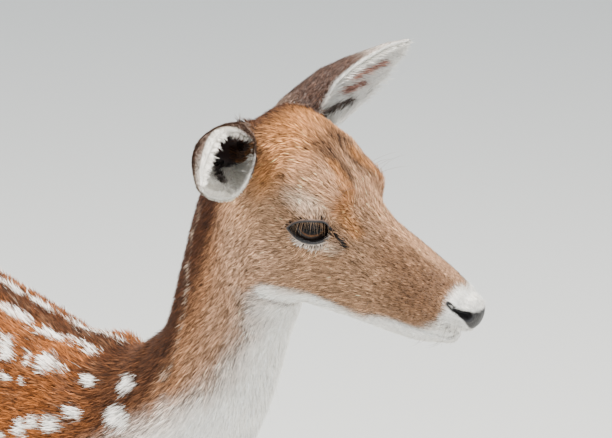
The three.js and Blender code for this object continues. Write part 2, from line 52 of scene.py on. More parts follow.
EYES_AT = np.array([550.0, 60.0, 1000.0])
HEAD_TURN = np.radians(27)
HEAD_DROP = np.radians(15.8)
EYE = {"forward": -10, "side": 34, "up": -9, "radius": 17}
HEAD_CORE = (20, 0, -25)  # the head's middle, on the head's own axes
EARS_REACH = 260  # from the eyes out past both ears
FACE_REACH = 190  # from the eyes out past the nose
EAR_LENGTH = 141
EAR_FOOT = -0.12  # where the ear's rows start, inside the head, as a share of its length
EAR_HIDE = 2.0  # thickness of the bare ear
EAR_COAT = 1.3  # depth of the coat on the back of the ear
CORNEA_BULGE = 0.03  # how far the cornea stands out, as a share of the eye's radius
SKIN_VOXEL = 6.2  # spacing of the skin's mesh on the body, halved and halved again on the face
SIDES = {"left": 1, "right": -1}
FORE_STEP = {"left": 16, "right": -10}
HIND_STEP = {"left": -12, "right": 14}
HOOF_ROUNDING = 1.1
SCUFF_HEIGHT = 9  # how far up the hooves are worn
LEGS = [f"{leg}_{side}" for leg in ("foreleg", "hindleg") for side in SIDES]
FLESH = ["trunk", "neck", "head", "tail", "ear_left", "ear_right"]
FLESH += [f"{leg}_{half}" for leg in LEGS for half in ("upper", "lower")]

HEAD_FORWARD = np.array([
    np.cos(HEAD_TURN) * np.cos(HEAD_DROP), np.sin(HEAD_TURN) * np.cos(HEAD_DROP), -np.sin(HEAD_DROP)])
HEAD_LEFT = np.array([-np.sin(HEAD_TURN), np.cos(HEAD_TURN), 0.0])
HEAD_UP = np.cross(HEAD_FORWARD, HEAD_LEFT)
HEAD_AXES = np.stack([HEAD_FORWARD, HEAD_LEFT, HEAD_UP])


def to_head(points):
    return (points - EYES_AT) @ HEAD_AXES.T


def from_head(points):
    return np.asarray(points, float) @ HEAD_AXES + EYES_AT


def unit(vector):
    vector = np.asarray(vector, float)
    return vector / np.linalg.norm(vector, axis=-1, keepdims=True)


def eye_middle(side):
    return np.array([EYE["forward"], side * EYE["side"], EYE["up"]], float)


def near_eyes(points, reach):
    """Which places lie within reach of the middle between the eyes."""
    return np.linalg.norm(points - EYES_AT, axis=1) < reach


def frame_offset():
    """From the doe's own axes to the frame, found from where the frame holds the eyes."""
    corners = [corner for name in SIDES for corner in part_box(f"eye_{name}")]
    between = np.mean([list(corner) for corner in corners], axis=0) / MM
    return between - from_head([EYE["forward"], 0, EYE["up"]])


OFFSET = frame_offset()


def to_frame(points):
    return (points + OFFSET) * MM


def from_frame(points):
    return points / MM - OFFSET


def rise(value, low, high):
    """0 below low, 1 above high, smooth between."""
    t = np.clip((value - low) / (high - low), 0, 1)
    return t * t * (3 - 2 * t)


def patch(points, centre, radii):
    """1 at the centre of a soft-edged patch, 0 outside its radii."""
    away = np.linalg.norm((points - np.array(centre, float)) / np.array(radii, float), axis=-1)
    return rise(1 - away, 0, 1)


def smooth_noise(points, size, seed):
    """Soft lumps about one size across, from -1 to 1, made of crossed waves."""
    phases = np.random.default_rng(seed)
    total = np.zeros(len(points))
    for _ in range(7):
        wave = unit(phases.normal(size=3)) * 2 * np.pi / (size * phases.uniform(0.7, 1.5))
        total += np.sin(points @ wave + phases.uniform(0, 6.28))
    return total / 3.5


# ------------------------------------------------------------------ flesh as distances
# Each form is a function of points that gives about how far they are outside it.


def loft(origin, along, up, rows):
    """Sections square to an axis. A row is: place along it, shift to the side, shift up,
    half width, reach up, reach down, squareness, how much wider the upper half is."""
    origin, along = np.array(origin, float), unit(along)
    side = unit(np.cross(up, along))
    top = np.cross(along, side)
    rows = np.array(rows, float)
    place, values = rows[:, 0], rows[:, 1:]
    slopes = np.gradient(values, place, axis=0)
    slopes[1:-1] = (values[2:] - values[:-2]) / (place[2:] - place[:-2])[:, None]

    def section(s):
        i = np.clip(np.searchsorted(place, s) - 1, 0, len(place) - 2)
        span = place[i + 1] - place[i]
        t = np.clip((s - place[i]) / span, 0, 1)
        t2, t3 = t * t, t * t * t
        parts = (2 * t3 - 3 * t2 + 1, (t3 - 2 * t2 + t) * span, 3 * t2 - 2 * t3, (t3 - t2) * span)
        ends = (values[i], slopes[i], values[i + 1], slopes[i + 1])
        return sum(part[:, None] * end for part, end in zip(parts, ends)).T

    def share(s, u, v):
        shift_side, shift_up, width, reach_up, reach_down, square, wider = section(s)
        v = v - shift_up
        half = np.where(v > 0, reach_up, reach_down)
        across = width * (1 + wider * np.clip(v / half, -1, 1))
        end = np.minimum(across, half)
        past = np.maximum(place[0] - s, 0) + np.maximum(s - place[-1], 0)
        a, b = np.abs(u - shift_side) / across, np.abs(v) / half
        out = (a**square + b**square + (past / end) ** square) ** (1 / square) + 1e-6
        slope = (a ** (square - 1) / across) ** 2 + (b ** (square - 1) / half) ** 2
        return out, out ** (2 - 2 * square) * slope, end

    def along_and_around(points):
        """Place along the axis, and the angle around it from the upper side."""
        away = points - origin
        s = away @ along
        shift_side, shift_up = section(s)[:2]
        return s, np.arctan2(away @ side - shift_side, away @ top - shift_up)

    def distance(points):
        away = points - origin
        s, u, v = away @ along, away @ side, away @ top
        out, slope, end = share(s, u, v)
        step = share(s + 1, u, v)[0] - out
        return np.maximum((out - 1) / np.sqrt(slope + step * step + 1e-12), -end)

    distance.along_and_around = along_and_around
    return distance


def ball(centre, radii):
    centre, radii = np.array(centre, float), np.array(radii, float)

    def distance(points):
        away = (points - centre) / radii
        out = np.linalg.norm(away, axis=1) + 1e-6
        return out * (out - 1) / (np.linalg.norm(away / radii, axis=1) + 1e-6)

    return distance


def rod(start, end, start_radius, end_radius):
    """A rod with round ends that tapers from one radius to the other."""
    start, run = np.array(start, float), np.array(end, float) - np.array(start, float)

    def distance(points):
        away = points - start
        t = np.clip(away @ run / (run @ run), 0, 1)
        return np.linalg.norm(away - t[:, None] * run, axis=1) - (
            start_radius + (end_radius - start_radius) * t)

    return distance


def blended(a, b, blend):
    near = np.maximum(blend - np.abs(a - b), 0) / blend
    return np.minimum(a, b) - near * near * blend * 0.25


def upright(s, top, under, width, middle, square, wider):
    """A loft row from the top and the underside of the section there."""
    centre = under + (top - under) * middle
    return [s, 0, centre, width, top - centre, centre - under, square, wider]


BARREL = loft((0, 0, 0), (1, 0, 0), (0, 0, 1), [
    upright(-398, 745, 650, 42, 0.5, 2.2, 0),
    upright(-370, 784, 600, 64, 0.5, 2.2, -0.05),
    upright(-320, 804, 562, 84, 0.5, 2.2, -0.08),
    upright(-250, 809, 540, 94, 0.5, 2.2, -0.1),
    upright(-150, 799, 512, 102, 0.48, 2.2, -0.12),
    upright(-40, 788, 484, 112, 0.46, 2.2, -0.14),
    upright(80, 788, 466, 112, 0.46, 2.2, -0.18),
    upright(180, 789, 460, 99, 0.46, 2.2, -0.25),
    upright(250, 788, 474, 84, 0.46, 2.1, -0.3),
    upright(310, 752, 512, 68, 0.45, 2.1, -0.3),
    upright(350, 715, 560, 52, 0.45, 2.1, -0.1),
])

NECK = loft((250, 2, 660), (250, 43, 375), (-0.75, 0, 0.66), [
    (-20, 0, -10, 80, 100, 104, 2.2, -0.2),
    (70, -2, -32, 75, 102, 88, 2.2, -0.2),
    (150, -5, -48, 64, 87, 66, 2.1, -0.15),
    (225, -7, -50, 57, 70, 57, 2.05, -0.1),
    (295, -8, -36, 53, 76, 55, 2, -0.05),
    (355, -8, -20, 50, 79, 57, 2, 0),
    (410, -6, -8, 46, 73, 52, 2, 0),
    (450, 0, 0, 38, 46, 42, 2, 0),
])

TAIL = loft((0, 0, 0), (0, 0, 1), (-1, 0, 0), [
    (600, 0, 440, 8, 7, 7, 2, 0),
    (650, 0, 438, 12, 9, 10, 2, 0),
    (700, 0, 432, 14, 11, 13, 2, 0),
    (740, 0, 412, 16, 14, 22, 2, 0),
    (765, 0, 395, 18, 10, 20, 2, 0),
])

SKULL = loft((0, 0, 0), (1, 0, 0), (0, 0, 1), [
    upright(-96, 34, -34, 30, 0.5, 2, 0),
    upright(-76, 47, -70, 38, 0.55, 2, 0),
    upright(-48, 53, -87, 42, 0.55, 2, 0),
    upright(-20, 46, -90, 42, 0.55, 2, -0.05),
    upright(12, 30, -85, 37, 0.55, 2, -0.16),
    upright(42, 12, -79, 31, 0.5, 2, -0.18),
    upright(72, 2, -72, 27, 0.48, 2.1, -0.15),
    upright(100, -7, -68, 24, 0.48, 2.2, -0.1),
    upright(120, -15, -64, 21, 0.48, 2.2, -0.05),
    upright(131, -22, -57, 17, 0.5, 2.2, 0),
])

JAW = loft((0, 0, 0), (1, 0, 0), (0, 0, 1), [
    (-48, 0, -55, 26, 30, 34, 2, 0),
    (-30, 0, -68, 24, 24, 27, 2, 0),
    (0, 0, -77, 20, 20, 19, 2, 0),
    (40, 0, -77, 17, 14, 14, 2, 0),
    (76, 0, -75, 15.5, 11, 12, 2, 0),
    (104, 0, -71, 14, 10, 11, 2, 0),
    (123, 0, -65, 11.5, 8, 9, 2, 0),
])


def head_side(hand):
    """Forms on one side of the head, each with the width of its blend."""
    return [
        (ball((-8, hand * 30.5, -8), (27, 12.5, 22)), 18),  # eye socket
        (rod((-26, hand * 29, 27.5), (3, hand * 28, 21), 17, 12), 24),  # brow
        (rod((-62, hand * 31, -8), (14, hand * 32, -20), 8, 8), 22),  # cheekbone
        (ball((-40, hand * 25, -44), (38, 18, 38)), 24),  # jaw muscle
        (rod((-66, hand * 20, 22), (-76, hand * 27, 28), 21, 15), 28),  # ear root
        (ball((120, hand * 11, -36), (14, 10, 13)), 8),  # wing of the nostril
    ]


HEAD_FORMS = [(JAW, 11), *head_side(-1), *head_side(1)]


def head_distance(points):
    local = to_head(points)
    total = SKULL(local)
    for form, blend in HEAD_FORMS:
        total = blended(total, form(local), blend)
    return total


def leg(hand, step, rows):
    """A leg row is: height, forward, out, half width, front, back, share of the step."""
    lofted = [
        (height, -hand * out, forward + step * share, width, front, back, 2, 0)
        for height, forward, out, width, front, back, share in rows
    ]
    return loft((0, 0, 0), (0, 0, 1), (1, 0, 0), lofted)


def foreleg(hand, step):
    return leg(hand, step, [
        (36, 274, 62, 17, 17, 16, 1),
        (58, 267, 62, 15, 13.5, 13, 1),
        (82, 257, 62, 14.5, 13, 14, 1),
        (104, 250, 62, 15.5, 14.5, 18, 1),
        (135, 247, 63, 12.5, 12, 15, 0.96),
        (190, 246, 64, 12.3, 11.5, 14, 0.92),
        (242, 246, 65, 14.5, 14, 16, 0.87),
        (266, 247, 66, 18, 19, 19.5, 0.85),
        (292, 247, 66, 18.5, 20, 19, 0.85),
        (320, 245, 67, 17, 19, 18, 0.8),
        (370, 242, 69, 19, 23, 22, 0.7),
        (430, 238, 72, 24, 30, 31, 0.55),
        (495, 238, 75, 30, 42, 46, 0.4),
        (560, 250, 74, 30, 52, 55, 0.2),
        (640, 262, 66, 26, 60, 62, 0),
    ])


def hindleg(hand, step):
    return leg(hand, step, [
        (36, -307, 62, 17, 17, 16, 1),
        (58, -314, 62, 15, 13.5, 13, 1),
        (84, -324, 62, 14.5, 13.5, 14, 1),
        (108, -331, 62, 15.5, 14.5, 18.5, 1),
        (150, -336, 63, 12.8, 12.5, 16, 0.98),
        (210, -341, 64, 12.8, 12.5, 16, 0.95),
        (265, -346, 65, 14.5, 15, 19, 0.92),
        (295, -350, 66, 17.5, 19, 23, 0.9),
        (325, -351, 67, 18, 21, 28, 0.9),
        (352, -345, 68, 16.5, 22, 34, 0.85),
        (378, -331, 69, 16.5, 26, 36, 0.8),
        (404, -314, 70, 19, 33, 36, 0.7),
        (440, -290, 72, 24, 44, 44, 0.5),
        (490, -270, 73, 32, 62, 62, 0.3),
        (550, -274, 70, 40, 82, 84, 0.2),
        (620, -290, 62, 40, 88, 92, 0.1),
        (700, -300, 50, 34, 66, 80, 0),
    ])


def thigh(hand, step):
    """The hind leg, with the stifle standing out in front of it."""
    hind = hindleg(hand, step)
    stifle = rod((-205, hand * 72, 545), (-215, hand * 75, 505), 34, 28)
    return lambda points: blended(hind(points), stifle(points), 40)


def shoulder(hand):
    return loft((205, hand * 42, 756), (125, hand * 28, -162), (1, 0, 0.5), [
        (0, 0, 0, 14, 30, 30, 2, 0),
        (70, hand * -4, 0, 24, 48, 46, 2, 0),
        (150, hand * -4, 0, 26, 48, 45, 2, 0),
        (215, 0, 0, 24, 30, 30, 2, 0),
    ])


def body_forms():
    """The forms in the order they join, with each blend and the box it reaches into."""
    forms = [(NECK, 70, (150, 620), (-200, 260), (420, 1200))]
    for name, hand in SIDES.items():
        fore, hind = foreleg(hand, FORE_STEP[name]), thigh(hand, HIND_STEP[name])
        forms.append((shoulder(hand), 40, (80, 450), (-220, 220), (480, 900)))
        forms.append((fore, 30, (100, 420), (-220, 220), (-50, 800)))
        forms.append((hind, 45, (-520, -80), (-240, 240), (-50, 860)))
    forms.append((TAIL, 14, (-520, -340), (-90, 90), (540, 830)))
    forms.append((head_distance, 26, (380, 780), (-130, 240), (820, 1180)))
    return forms


BODY_FORMS = body_forms()


def body_distance(points):
    """The outer surface of the coat, ears apart."""
    total = BARREL(points)
    for form, blend, *reach in BODY_FORMS:
        inside = np.ones(len(points), bool)
        for axis, (low, high) in enumerate(reach):
            inside &= (points[:, axis] > low) & (points[:, axis] < high)
        if inside.any():
            total[inside] = blended(total[inside], form(points[inside]), blend)
    return total


# ------------------------------------------------------------------ ears
# Each ear is a curled leaf. A row is: share of the length, radius of the arc, half its
# spread in degrees, how far the arc's middle stands toward the opening.

EAR_ROWS = np.array([
    (EAR_FOOT, 14.5, 173, -6),
    (0, 17, 173, -9),
    (0.07, 20, 173, -10),
    (0.15, 22, 167, -9),
    (0.3, 25, 131, -6),
    (0.45, 28, 104, -2),
    (0.6, 27, 89, 3),
    (0.75, 21.5, 78, 5),
    (0.88, 14.5, 69, 4),
    (0.97, 6.3, 67, 2),
    (1, 3.2, 67, 1),
], float)


def ear(hand, root, direction, opening):
    along = unit(direction)
    opened = np.array(opening, float)
    opened = unit(opened - along * (opened @ along))
    return {"hand": hand, "root": np.array(root, float), "along": along, "open": opened,
            "side": np.cross(along, opened)}


EARS = {
    "left": ear(1, (-83, 27, 19.5), (0.39, 0.607, 0.693), (0.952, -0.277, -0.13)),
    "right": ear(-1, (-88, -33.5, 35), (0.23, -0.969, 0.085), (0.84, 0.2, 0.48)),
}


def ear_row(share):
    """Radius of the arc, half its spread in radians, and how far its middle stands."""
    radius, spread, stand = [np.interp(share, EAR_ROWS[:, 0], EAR_ROWS[:, k]) for k in (1, 2, 3)]
    return radius, np.radians(spread), stand


def ear_place(one, points):
    """Share of the length, angle around from the back of the ear, angle of the edge,
    distance out from the middle of the hide, and distance past its edge."""
    away = to_head(points) - one["root"]
    share = away @ one["along"] / EAR_LENGTH
    radius, spread, stand = ear_row(np.clip(share, EAR_FOOT, 1))
    back = stand - away @ one["open"]
    side = away @ one["side"]
    angle = np.arctan2(side, back)
    out = np.hypot(back, side) - (radius - 0.5 * EAR_HIDE - EAR_COAT)
    past_edge = np.maximum(np.abs(angle) - spread, 0) * radius
    past_tip = np.maximum(share - 1, 0) * EAR_LENGTH + np.maximum(EAR_FOOT - share, 0) * EAR_LENGTH
    return share, angle, spread, out, np.hypot(past_edge, past_tip)


def ear_distance(one, points, thickness):
    out, past = ear_place(one, points)[3:]
    return np.hypot(out, past) - thickness / 2


# ------------------------------------------------------------------ the skin's shape

LID_OUT = unit((0.257, 0.964, -0.064))
LID_FORWARD = unit((0.945, -0.237, 0.226))
LID_UP = unit((-0.203, 0.119, 0.972))
LID_THICKNESS = 2.2
LID_PEAK = 3  # where the upper lid is highest, ahead of the eyeball's middle
LID_ARCH = 10.8  # rise of the upper lid above the corners of the eye
LOWER_LID_SAG = 7
LID_BLEND = 7  # how widely lids and ears run into the head
CREASE = 4.2  # from the edge of the upper lid up to its fold
CORNER_UP = -1.9  # the corners of the eye, below its middle
SOCKET = 14.5  # radius of the hollow behind the lids
CORNER_DEPTH = 4.5  # of the hollow at the corners of the eye
EAR_PIT = 15  # depth of the hollow in the head under each ear's opening
LID_CLEAR = 0.6  # between the cornea and the inside of the lids
NOSTRIL = [(120.5, 21.5, -29.5), (127, 20, -33), (132, 17.5, -35), (137, 12.5, -36)]


def fold_over(points):
    """Head places with both sides laid on the left one, as the face is the same on both."""
    head = to_head(points)
    head[:, 1] = np.abs(head[:, 1])
    return head


def from_path(points, path):
    """How far points are from a path of straight runs, and their share of its length."""
    path = np.array(path, float)
    nearest, share = np.full(len(points), 1e9), np.zeros(len(points))
    for i, (start, end) in enumerate(zip(path, path[1:])):
        run = end - start
        t = np.clip((points - start) @ run / (run @ run), 0, 1)
        away = np.linalg.norm(points - start - t[:, None] * run, axis=1)
        closer = away < nearest
        nearest[closer] = away[closer]
        share[closer] = (i + t[closer]) / (len(path) - 1)
    return nearest, share


def from_eyeball(about):
    """How far face places are from the middle of the eyeball."""
    return np.linalg.norm(about - eye_middle(1), axis=1)


def lid_plane(about):
    """Places seen square on to the eye: forward, up and out from the eyeball's middle."""
    away = about - eye_middle(1)
    return away @ LID_FORWARD, away @ LID_UP, away @ LID_OUT


def upper_lid(forward):
    """Height of the upper lid's edge, which falls more steeply toward the nose."""
    ahead = forward > LID_PEAK
    run = np.abs((forward - LID_PEAK) / np.where(ahead, 16, 22.5))
    return CORNER_UP + LID_ARCH * (1 - run ** np.where(ahead, 4.5, 2.4))


def past_lid(about):
    """How far above or below the opening between the lids, and which lid is nearer."""
    forward, up, out = lid_plane(about)
    upper = upper_lid(forward)
    run = np.abs(forward / np.where(forward > 0, 18, 19.5))
    lower = CORNER_UP - LOWER_LID_SAG * (1 - run ** 2.2)
    past = np.maximum(up - upper, lower - up)
    past = np.where((out < 0) | (np.abs(forward) > 30), 40, past)
    return past, np.where(up > (upper + lower) / 2, 1, -1)


def coat_depth(points):
    """How far the skin lies inside the coat's surface."""
    head = to_head(points)
    on_head = rise(-np.linalg.norm(head - HEAD_CORE, axis=1), -150, -110)
    muzzle = rise(head[:, 0], 30, 110)
    low_leg = rise(-points[:, 2], -470, -360)
    neck = rise(points[:, 2], 780, 980)
    depth = 8 - 4 * neck
    depth = depth + (3 - depth) * low_leg
    face = 2.4 - 1.2 * muzzle
    return depth + (face - depth) * on_head


def lid_balls(points):
    """The lids, as hide stretched over the eyeballs."""
    about = fold_over(points)
    return from_eyeball(about) - EYE["radius"] - LID_THICKNESS


def flesh_only(points):
    total = body_distance(points) + coat_depth(points)
    near = near_eyes(points, 90)
    total[near] = blended(total[near], lid_balls(points[near]), LID_BLEND)
    return total


def skin_distance(points):
    total = flesh_only(points)
    near_head = near_eyes(points, EARS_REACH)
    for one in EARS.values():
        hide = ear_distance(one, points[near_head], EAR_HIDE)
        total[near_head] = blended(total[near_head], hide, LID_BLEND)
    return total


def pull_to(points, distance, rounds):
    """Moves points onto the surface where a distance is nought."""
    for _ in range(rounds):
        here = distance(points)
        slope = np.stack(
            [distance(points + np.eye(3)[axis] * 0.5) - here for axis in range(3)], axis=1) / 0.5
        steep = (slope * slope).sum(axis=1)
        move = here / np.maximum(steep, 0.2)
        points = points - np.clip(move, -9, 9)[:, None] * slope
    return points


def get_points(mesh):
    flat = np.empty(len(mesh.vertices) * 3, np.float32)
    mesh.vertices.foreach_get("co", flat)
    return flat.reshape(-1, 3).astype(float)


def set_points(mesh, points):
    mesh.vertices.foreach_set("co", points.astype(np.float32).ravel())
    mesh.update()


def get_normals(mesh):
    flat = np.empty(len(mesh.vertices) * 3, np.float32)
    mesh.vertex_normals.foreach_get("vector", flat)
    return flat.reshape(-1, 3).astype(float)


def new_object(name, data):
    """An object of its own for a mesh, a lamp or a camera."""
    added = bpy.data.objects.new(name, data)
    bpy.context.collection.objects.link(added)
    return added


def places_of(piece):
    """A piece's points on the doe's own axes."""
    return from_frame(get_points(piece.data))


def move_to(piece, points):
    set_points(piece.data, to_frame(points))


def deselect():
    bpy.ops.object.select_all(action="DESELECT")


def make_active(piece):
    deselect()
    piece.select_set(True)
    bpy.context.view_layer.objects.active = piece


def face_outwards(piece):
    make_active(piece)
    bpy.ops.object.mode_set(mode="EDIT")
    bpy.ops.mesh.select_all(action="SELECT")
    bpy.ops.mesh.normals_make_consistent(inside=False)
    bpy.ops.object.mode_set(mode="OBJECT")


def apply_modifiers(piece):
    make_active(piece)
    for modifier in list(piece.modifiers):
        bpy.ops.object.modifier_apply(modifier=modifier.name)


def merged_copy(solids, name):
    """Copies of CAD solids as one object, with their loose triangles merged."""
    deselect()
    copies = []
    for solid in solids:
        copy = new_object(name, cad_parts[solid].data.copy())
        copy.select_set(True)
        copies.append(copy)
    bpy.context.view_layer.objects.active = copies[0]
    if len(copies) > 1:
        bpy.ops.object.join()
    merged = bpy.context.object
    merged.name = merged.data.name = name
    merged.data.materials.clear()
    bpy.ops.object.mode_set(mode="EDIT")
    bpy.ops.mesh.select_all(action="SELECT")
    bpy.ops.mesh.remove_doubles(threshold=1e-5)
    bpy.ops.object.mode_set(mode="OBJECT")
    return merged


def laid(path):
    """A path over the left of the face, its places moved onto the skin."""
    return to_head(pull_to(from_head(path), flesh_only, 6))


TEAR_SLIT = laid([(9, 46, -2), (17, 44, -4), (28, 39, -13)])
MOUTH = laid([
    (70, 18, -71), (83, 17, -70), (98, 15, -68), (112, 13, -66), (124, 10, -64.5), (132, 5, -62.5),
    (134, 0, -62),
])
PHILTRUM = laid([(145, 0, -47), (140, 0, -56), (135, 0, -61)])


def subdivide_where(piece, wanted):
    """Cuts each face whose middle is wanted into four."""
    mesh = piece.data
    middles = np.empty(len(mesh.polygons) * 3, np.float32)
    mesh.polygons.foreach_get("center", middles)
    chosen = wanted(from_frame(middles.reshape(-1, 3).astype(float)))
    mesh.vertices.foreach_set("select", np.zeros(len(mesh.vertices), bool))
    mesh.edges.foreach_set("select", np.zeros(len(mesh.edges), bool))
    mesh.polygons.foreach_set("select", chosen)
    make_active(piece)
    bpy.ops.object.mode_set(mode="EDIT")
    bpy.context.tool_settings.mesh_select_mode = (False, False, True)
    bpy.ops.mesh.subdivide(number_cuts=1)
    bpy.ops.object.mode_set(mode="OBJECT")


def face_part(points):
    head = to_head(points)
    return (head[:, 0] > -120) & (np.linalg.norm(head - HEAD_CORE, axis=1) < 150)


def low_leg_part(points):
    return points[:, 2] < 380


def fine_part(points):
    """Round the eyes, the nose and the mouth."""
    about = fold_over(points)
    eye = from_eyeball(about) < 33
    slit = from_path(about, TEAR_SLIT)[0] < 8
    mouth = (about[:, 0] > 64) & (about[:, 2] < -30)
    nose = about[:, 0] > 108
    return eye | slit | mouth | nose


def finest_part(points):
    """The edges of the lids, the tear slits, the nostrils and the lips."""
    about = fold_over(points)
    past = past_lid(about)[0]
    lid = (from_eyeball(about) < 30) & (np.abs(past) < 4)
    slit = from_path(about, TEAR_SLIT)[0] < 4
    nostril = from_path(about, NOSTRIL)[0] < 7
    mouth = from_path(about, MOUTH)[0] < 3.5
    return lid | slit | nostril | mouth


def ear_leaf(name):
    """One ear's hide: a grid bent to the ear's curl, then given its thickness."""
    one = EARS[name]
    deselect()
    bpy.ops.mesh.primitive_grid_add(x_subdivisions=56, y_subdivisions=40, size=2)
    leaf = bpy.context.object
    leaf.name = leaf.data.name = f"leaf_{name}"
    flat = get_points(leaf.data)
    share = EAR_FOOT + (1 - EAR_FOOT) * (flat[:, 0] + 1) / 2
    radius, spread, stand = ear_row(share)
    angle = spread * flat[:, 1]
    radius = radius - EAR_COAT
    back = stand - radius * np.cos(angle)
    side = radius * np.sin(angle)
    bent = one["root"] + np.outer(share * EAR_LENGTH, one["along"])
    bent = bent + back[:, None] * one["open"] + side[:, None] * one["side"]
    move_to(leaf, from_head(bent))
    thicken = leaf.modifiers.new("hide", "SOLIDIFY")
    thicken.thickness = EAR_HIDE * MM
    thicken.offset = 0
    apply_modifiers(leaf)
    return leaf


def sculpt_face(skin):
    """Opens the lids over the eyeballs and presses in nostrils, mouth, tear slits and folds."""
    points = places_of(skin)
    about = fold_over(points)
    normals = get_normals(skin.data)
    inward = np.zeros(len(points))

    past, lid = past_lid(about)
    forward, up, out = lid_plane(about)
    by_eye = (np.hypot(forward, up) < 27) & (out > 0)
    lid_crease_and_jaw_shadow = by_eye * (lid > 0) * np.exp(-((past - CREASE) / 0.9) ** 2)
    brow = by_eye * (lid > 0) * np.exp(-((past - CREASE - 3) / 2.2) ** 2)
    bag = by_eye * (lid < 0) * np.exp(-((past - 4.8) / 1.1) ** 2)
    inward += 0.9 * lid_crease_and_jaw_shadow - 0.9 * brow + 0.4 * bag

    nostril, share = from_path(about, NOSTRIL)
    width = 1.3 + 2.6 * share
    inward += (1.5 + 5.5 * share) * (1 - rise(nostril / width, 0.35, 1.15))
    inward -= 0.7 * np.exp(-((nostril - width - 1.4) / 1.1) ** 2)
    mouth, share = from_path(about, MOUTH)
    inward += (1.1 + 0.9 * share) * (1 - rise(mouth, 0.2, 1.8))
    inward -= 0.5 * np.exp(-((mouth - 3) / 1.3) ** 2)
    inward += 1.2 * (1 - rise(from_path(about, PHILTRUM)[0], 0.2, 2))
    slit, share = from_path(about, TEAR_SLIT)
    inward += 1.7 * (1 - rise(slit, 0.2, 1.7 - 0.6 * share))
    inward -= 0.5 * np.exp(-((slit - 2.6) / 1.1) ** 2)

    points = points - normals * inward[:, None]
    mirror = np.ones((len(points), 3))
    mirror[:, 1] = np.sign(to_head(points)[:, 1])
    from_eye = fold_over(points) - eye_middle(1)
    reach = np.linalg.norm(from_eye, axis=1)
    clear = EYE["radius"] * (1 + CORNEA_BULGE) + LID_CLEAR
    lift = by_eye * (past > 0) * np.maximum(clear - reach, 0)
    points = points + (from_eye / reach[:, None] * lift[:, None] * mirror) @ HEAD_AXES
    behind = np.sqrt(np.maximum(SOCKET**2 - forward**2 - up**2, CORNER_DEPTH**2))
    sink = by_eye * (1 - rise(past, -0.9, 0.5)) * np.maximum(out - behind, 0)
    points = points - (LID_OUT * mirror * sink[:, None]) @ HEAD_AXES
    move_to(skin, points)


def in_ear_mouth(points):
    """1 where the head would fill the hollow of an ear, 0 outside the ears."""
    inside = np.zeros(len(points))
    near = np.flatnonzero(near_eyes(points, EARS_REACH))
    for one in EARS.values():
        share, _, _, out, _ = ear_place(one, points[near])
        here = rise(-out, 1.5, 6) * rise(share, -0.3, -0.2) * (1 - rise(share, 0.4, 0.6))
        inside[near] = np.maximum(inside[near], here)
    return inside


def sink_ear_mouths(skin):
    """Presses the head in where it would fill the foot of an ear."""
    points = places_of(skin)
    inside = in_ear_mouth(points)
    for one in EARS.values():
        mine = (np.sign(to_head(points)[:, 1]) == one["hand"]) & (inside > 0)
        points[mine] -= (EAR_PIT * inside[mine])[:, None] * (one["along"] @ HEAD_AXES)
    move_to(skin, points)


def blend_ear_roots(skin):
    points = places_of(skin)
    hollow = in_ear_mouth(points) > 0.02
    near = np.zeros(len(points), bool)
    for one in EARS.values():
        share, _, _, out, _ = ear_place(one, points)
        near |= (np.abs(flesh_only(points)) < 12) & (np.abs(out) < 12) & (share > -0.15) & (share < 0.3)
    near &= ~hollow
    points[near] = pull_to(points[near], skin_distance, 3)
    move_to(skin, points)


def settle(skin):
    """Pulls the skin onto the flesh."""
    move_to(skin, pull_to(places_of(skin), flesh_only, 2))


def build_skin():
    filled = [name for name in FLESH if not name.startswith("ear")] + ["eye_left", "eye_right"]
    skin = merged_copy(filled, "skin")
    remesh = skin.modifiers.new("one skin", "REMESH")
    remesh.mode = "VOXEL"
    remesh.voxel_size = SKIN_VOXEL * MM
    apply_modifiers(skin)
    subdivide_where(skin, face_part)
    subdivide_where(skin, low_leg_part)
    settle(skin)
    subdivide_where(skin, fine_part)
    subdivide_where(skin, finest_part)
    settle(skin)
    sculpt_face(skin)
    sink_ear_mouths(skin)
    for name in SIDES:
        leaf = ear_leaf(name)
        union = skin.modifiers.new("ear", "BOOLEAN")
        union.operation = "UNION"
        union.solver = "MANIFOLD"
        union.object = leaf
        apply_modifiers(skin)
        bpy.data.objects.remove(leaf)
    blend_ear_roots(skin)
    make_active(skin)
    bpy.ops.object.shade_smooth()
    return skin


# ------------------------------------------------------------------ markings, with painted shade in hollows and creases


def linear(red, green, blue):
    """A colour as the shaders need it, from the usual 0 to 255 scale."""
    shade = np.array([red, green, blue], float) / 255
    return np.where(shade > 0.04045, ((shade + 0.055) / 1.055) ** 2.4, shade / 12.92)


CHESTNUT = linear(120, 68, 30)
DARK_CHESTNUT = linear(62, 33, 16)
DARK_NAPE = linear(44, 22, 10)
NECK_BROWN = linear(128, 90, 62)
SOOT = linear(42, 26, 18)
FAWN = linear(164, 126, 95)
PALE_FAWN = linear(192, 146, 110)
GREY_FAWN = linear(150, 118, 94)
ORANGE = linear(180, 118, 64)
UMBER = linear(100, 66, 44)
MUZZLE_BROWN = linear(100, 70, 48)
WHITE = linear(234, 230, 222)
CREAM = linear(220, 200, 178)
EAR_GREY = linear(126, 104, 90)
EAR_DARK = linear(66, 46, 38)
EAR_TIP = linear(186, 176, 166)
EAR_PINK = linear(168, 112, 94)
# Near black painted into the ear canals, the pits under the ears and the nostril holes: painted shade in
# hollows.
HOLLOW_SHADE = linear(40, 20, 14)
LID_SKIN = linear(104, 80, 68)
BARE_BLACK = linear(24, 20, 20)
EAR_BACK = {"left": (0.9, 0.93), "right": (0.3, 0.76)}  # darkness, and where the white edge starts
EAR_STREAKS = {  # dark streaks inside: share and degrees at both ends, half width, colour
    "left": [(0.57, 29, 0.78, 36, 2.2, EAR_PINK), (0.48, 52, 0.6, 55, 2.6, EAR_PINK),
             (0.3, 84, 0.46, 84, 3.6, EAR_DARK)],
    # The right ear's first streak is painted shade down in its canal.
    "right": [(0, -70, 0.15, 10, 11, HOLLOW_SHADE), (0.16, -32, 0.3, -62, 4, EAR_DARK)],
}
WHISKER_DOTS = [(x, z - 0.35 * (x - 110)) for z in (-42, -46.5, -51) for x in (111, 116, 121, 126)]

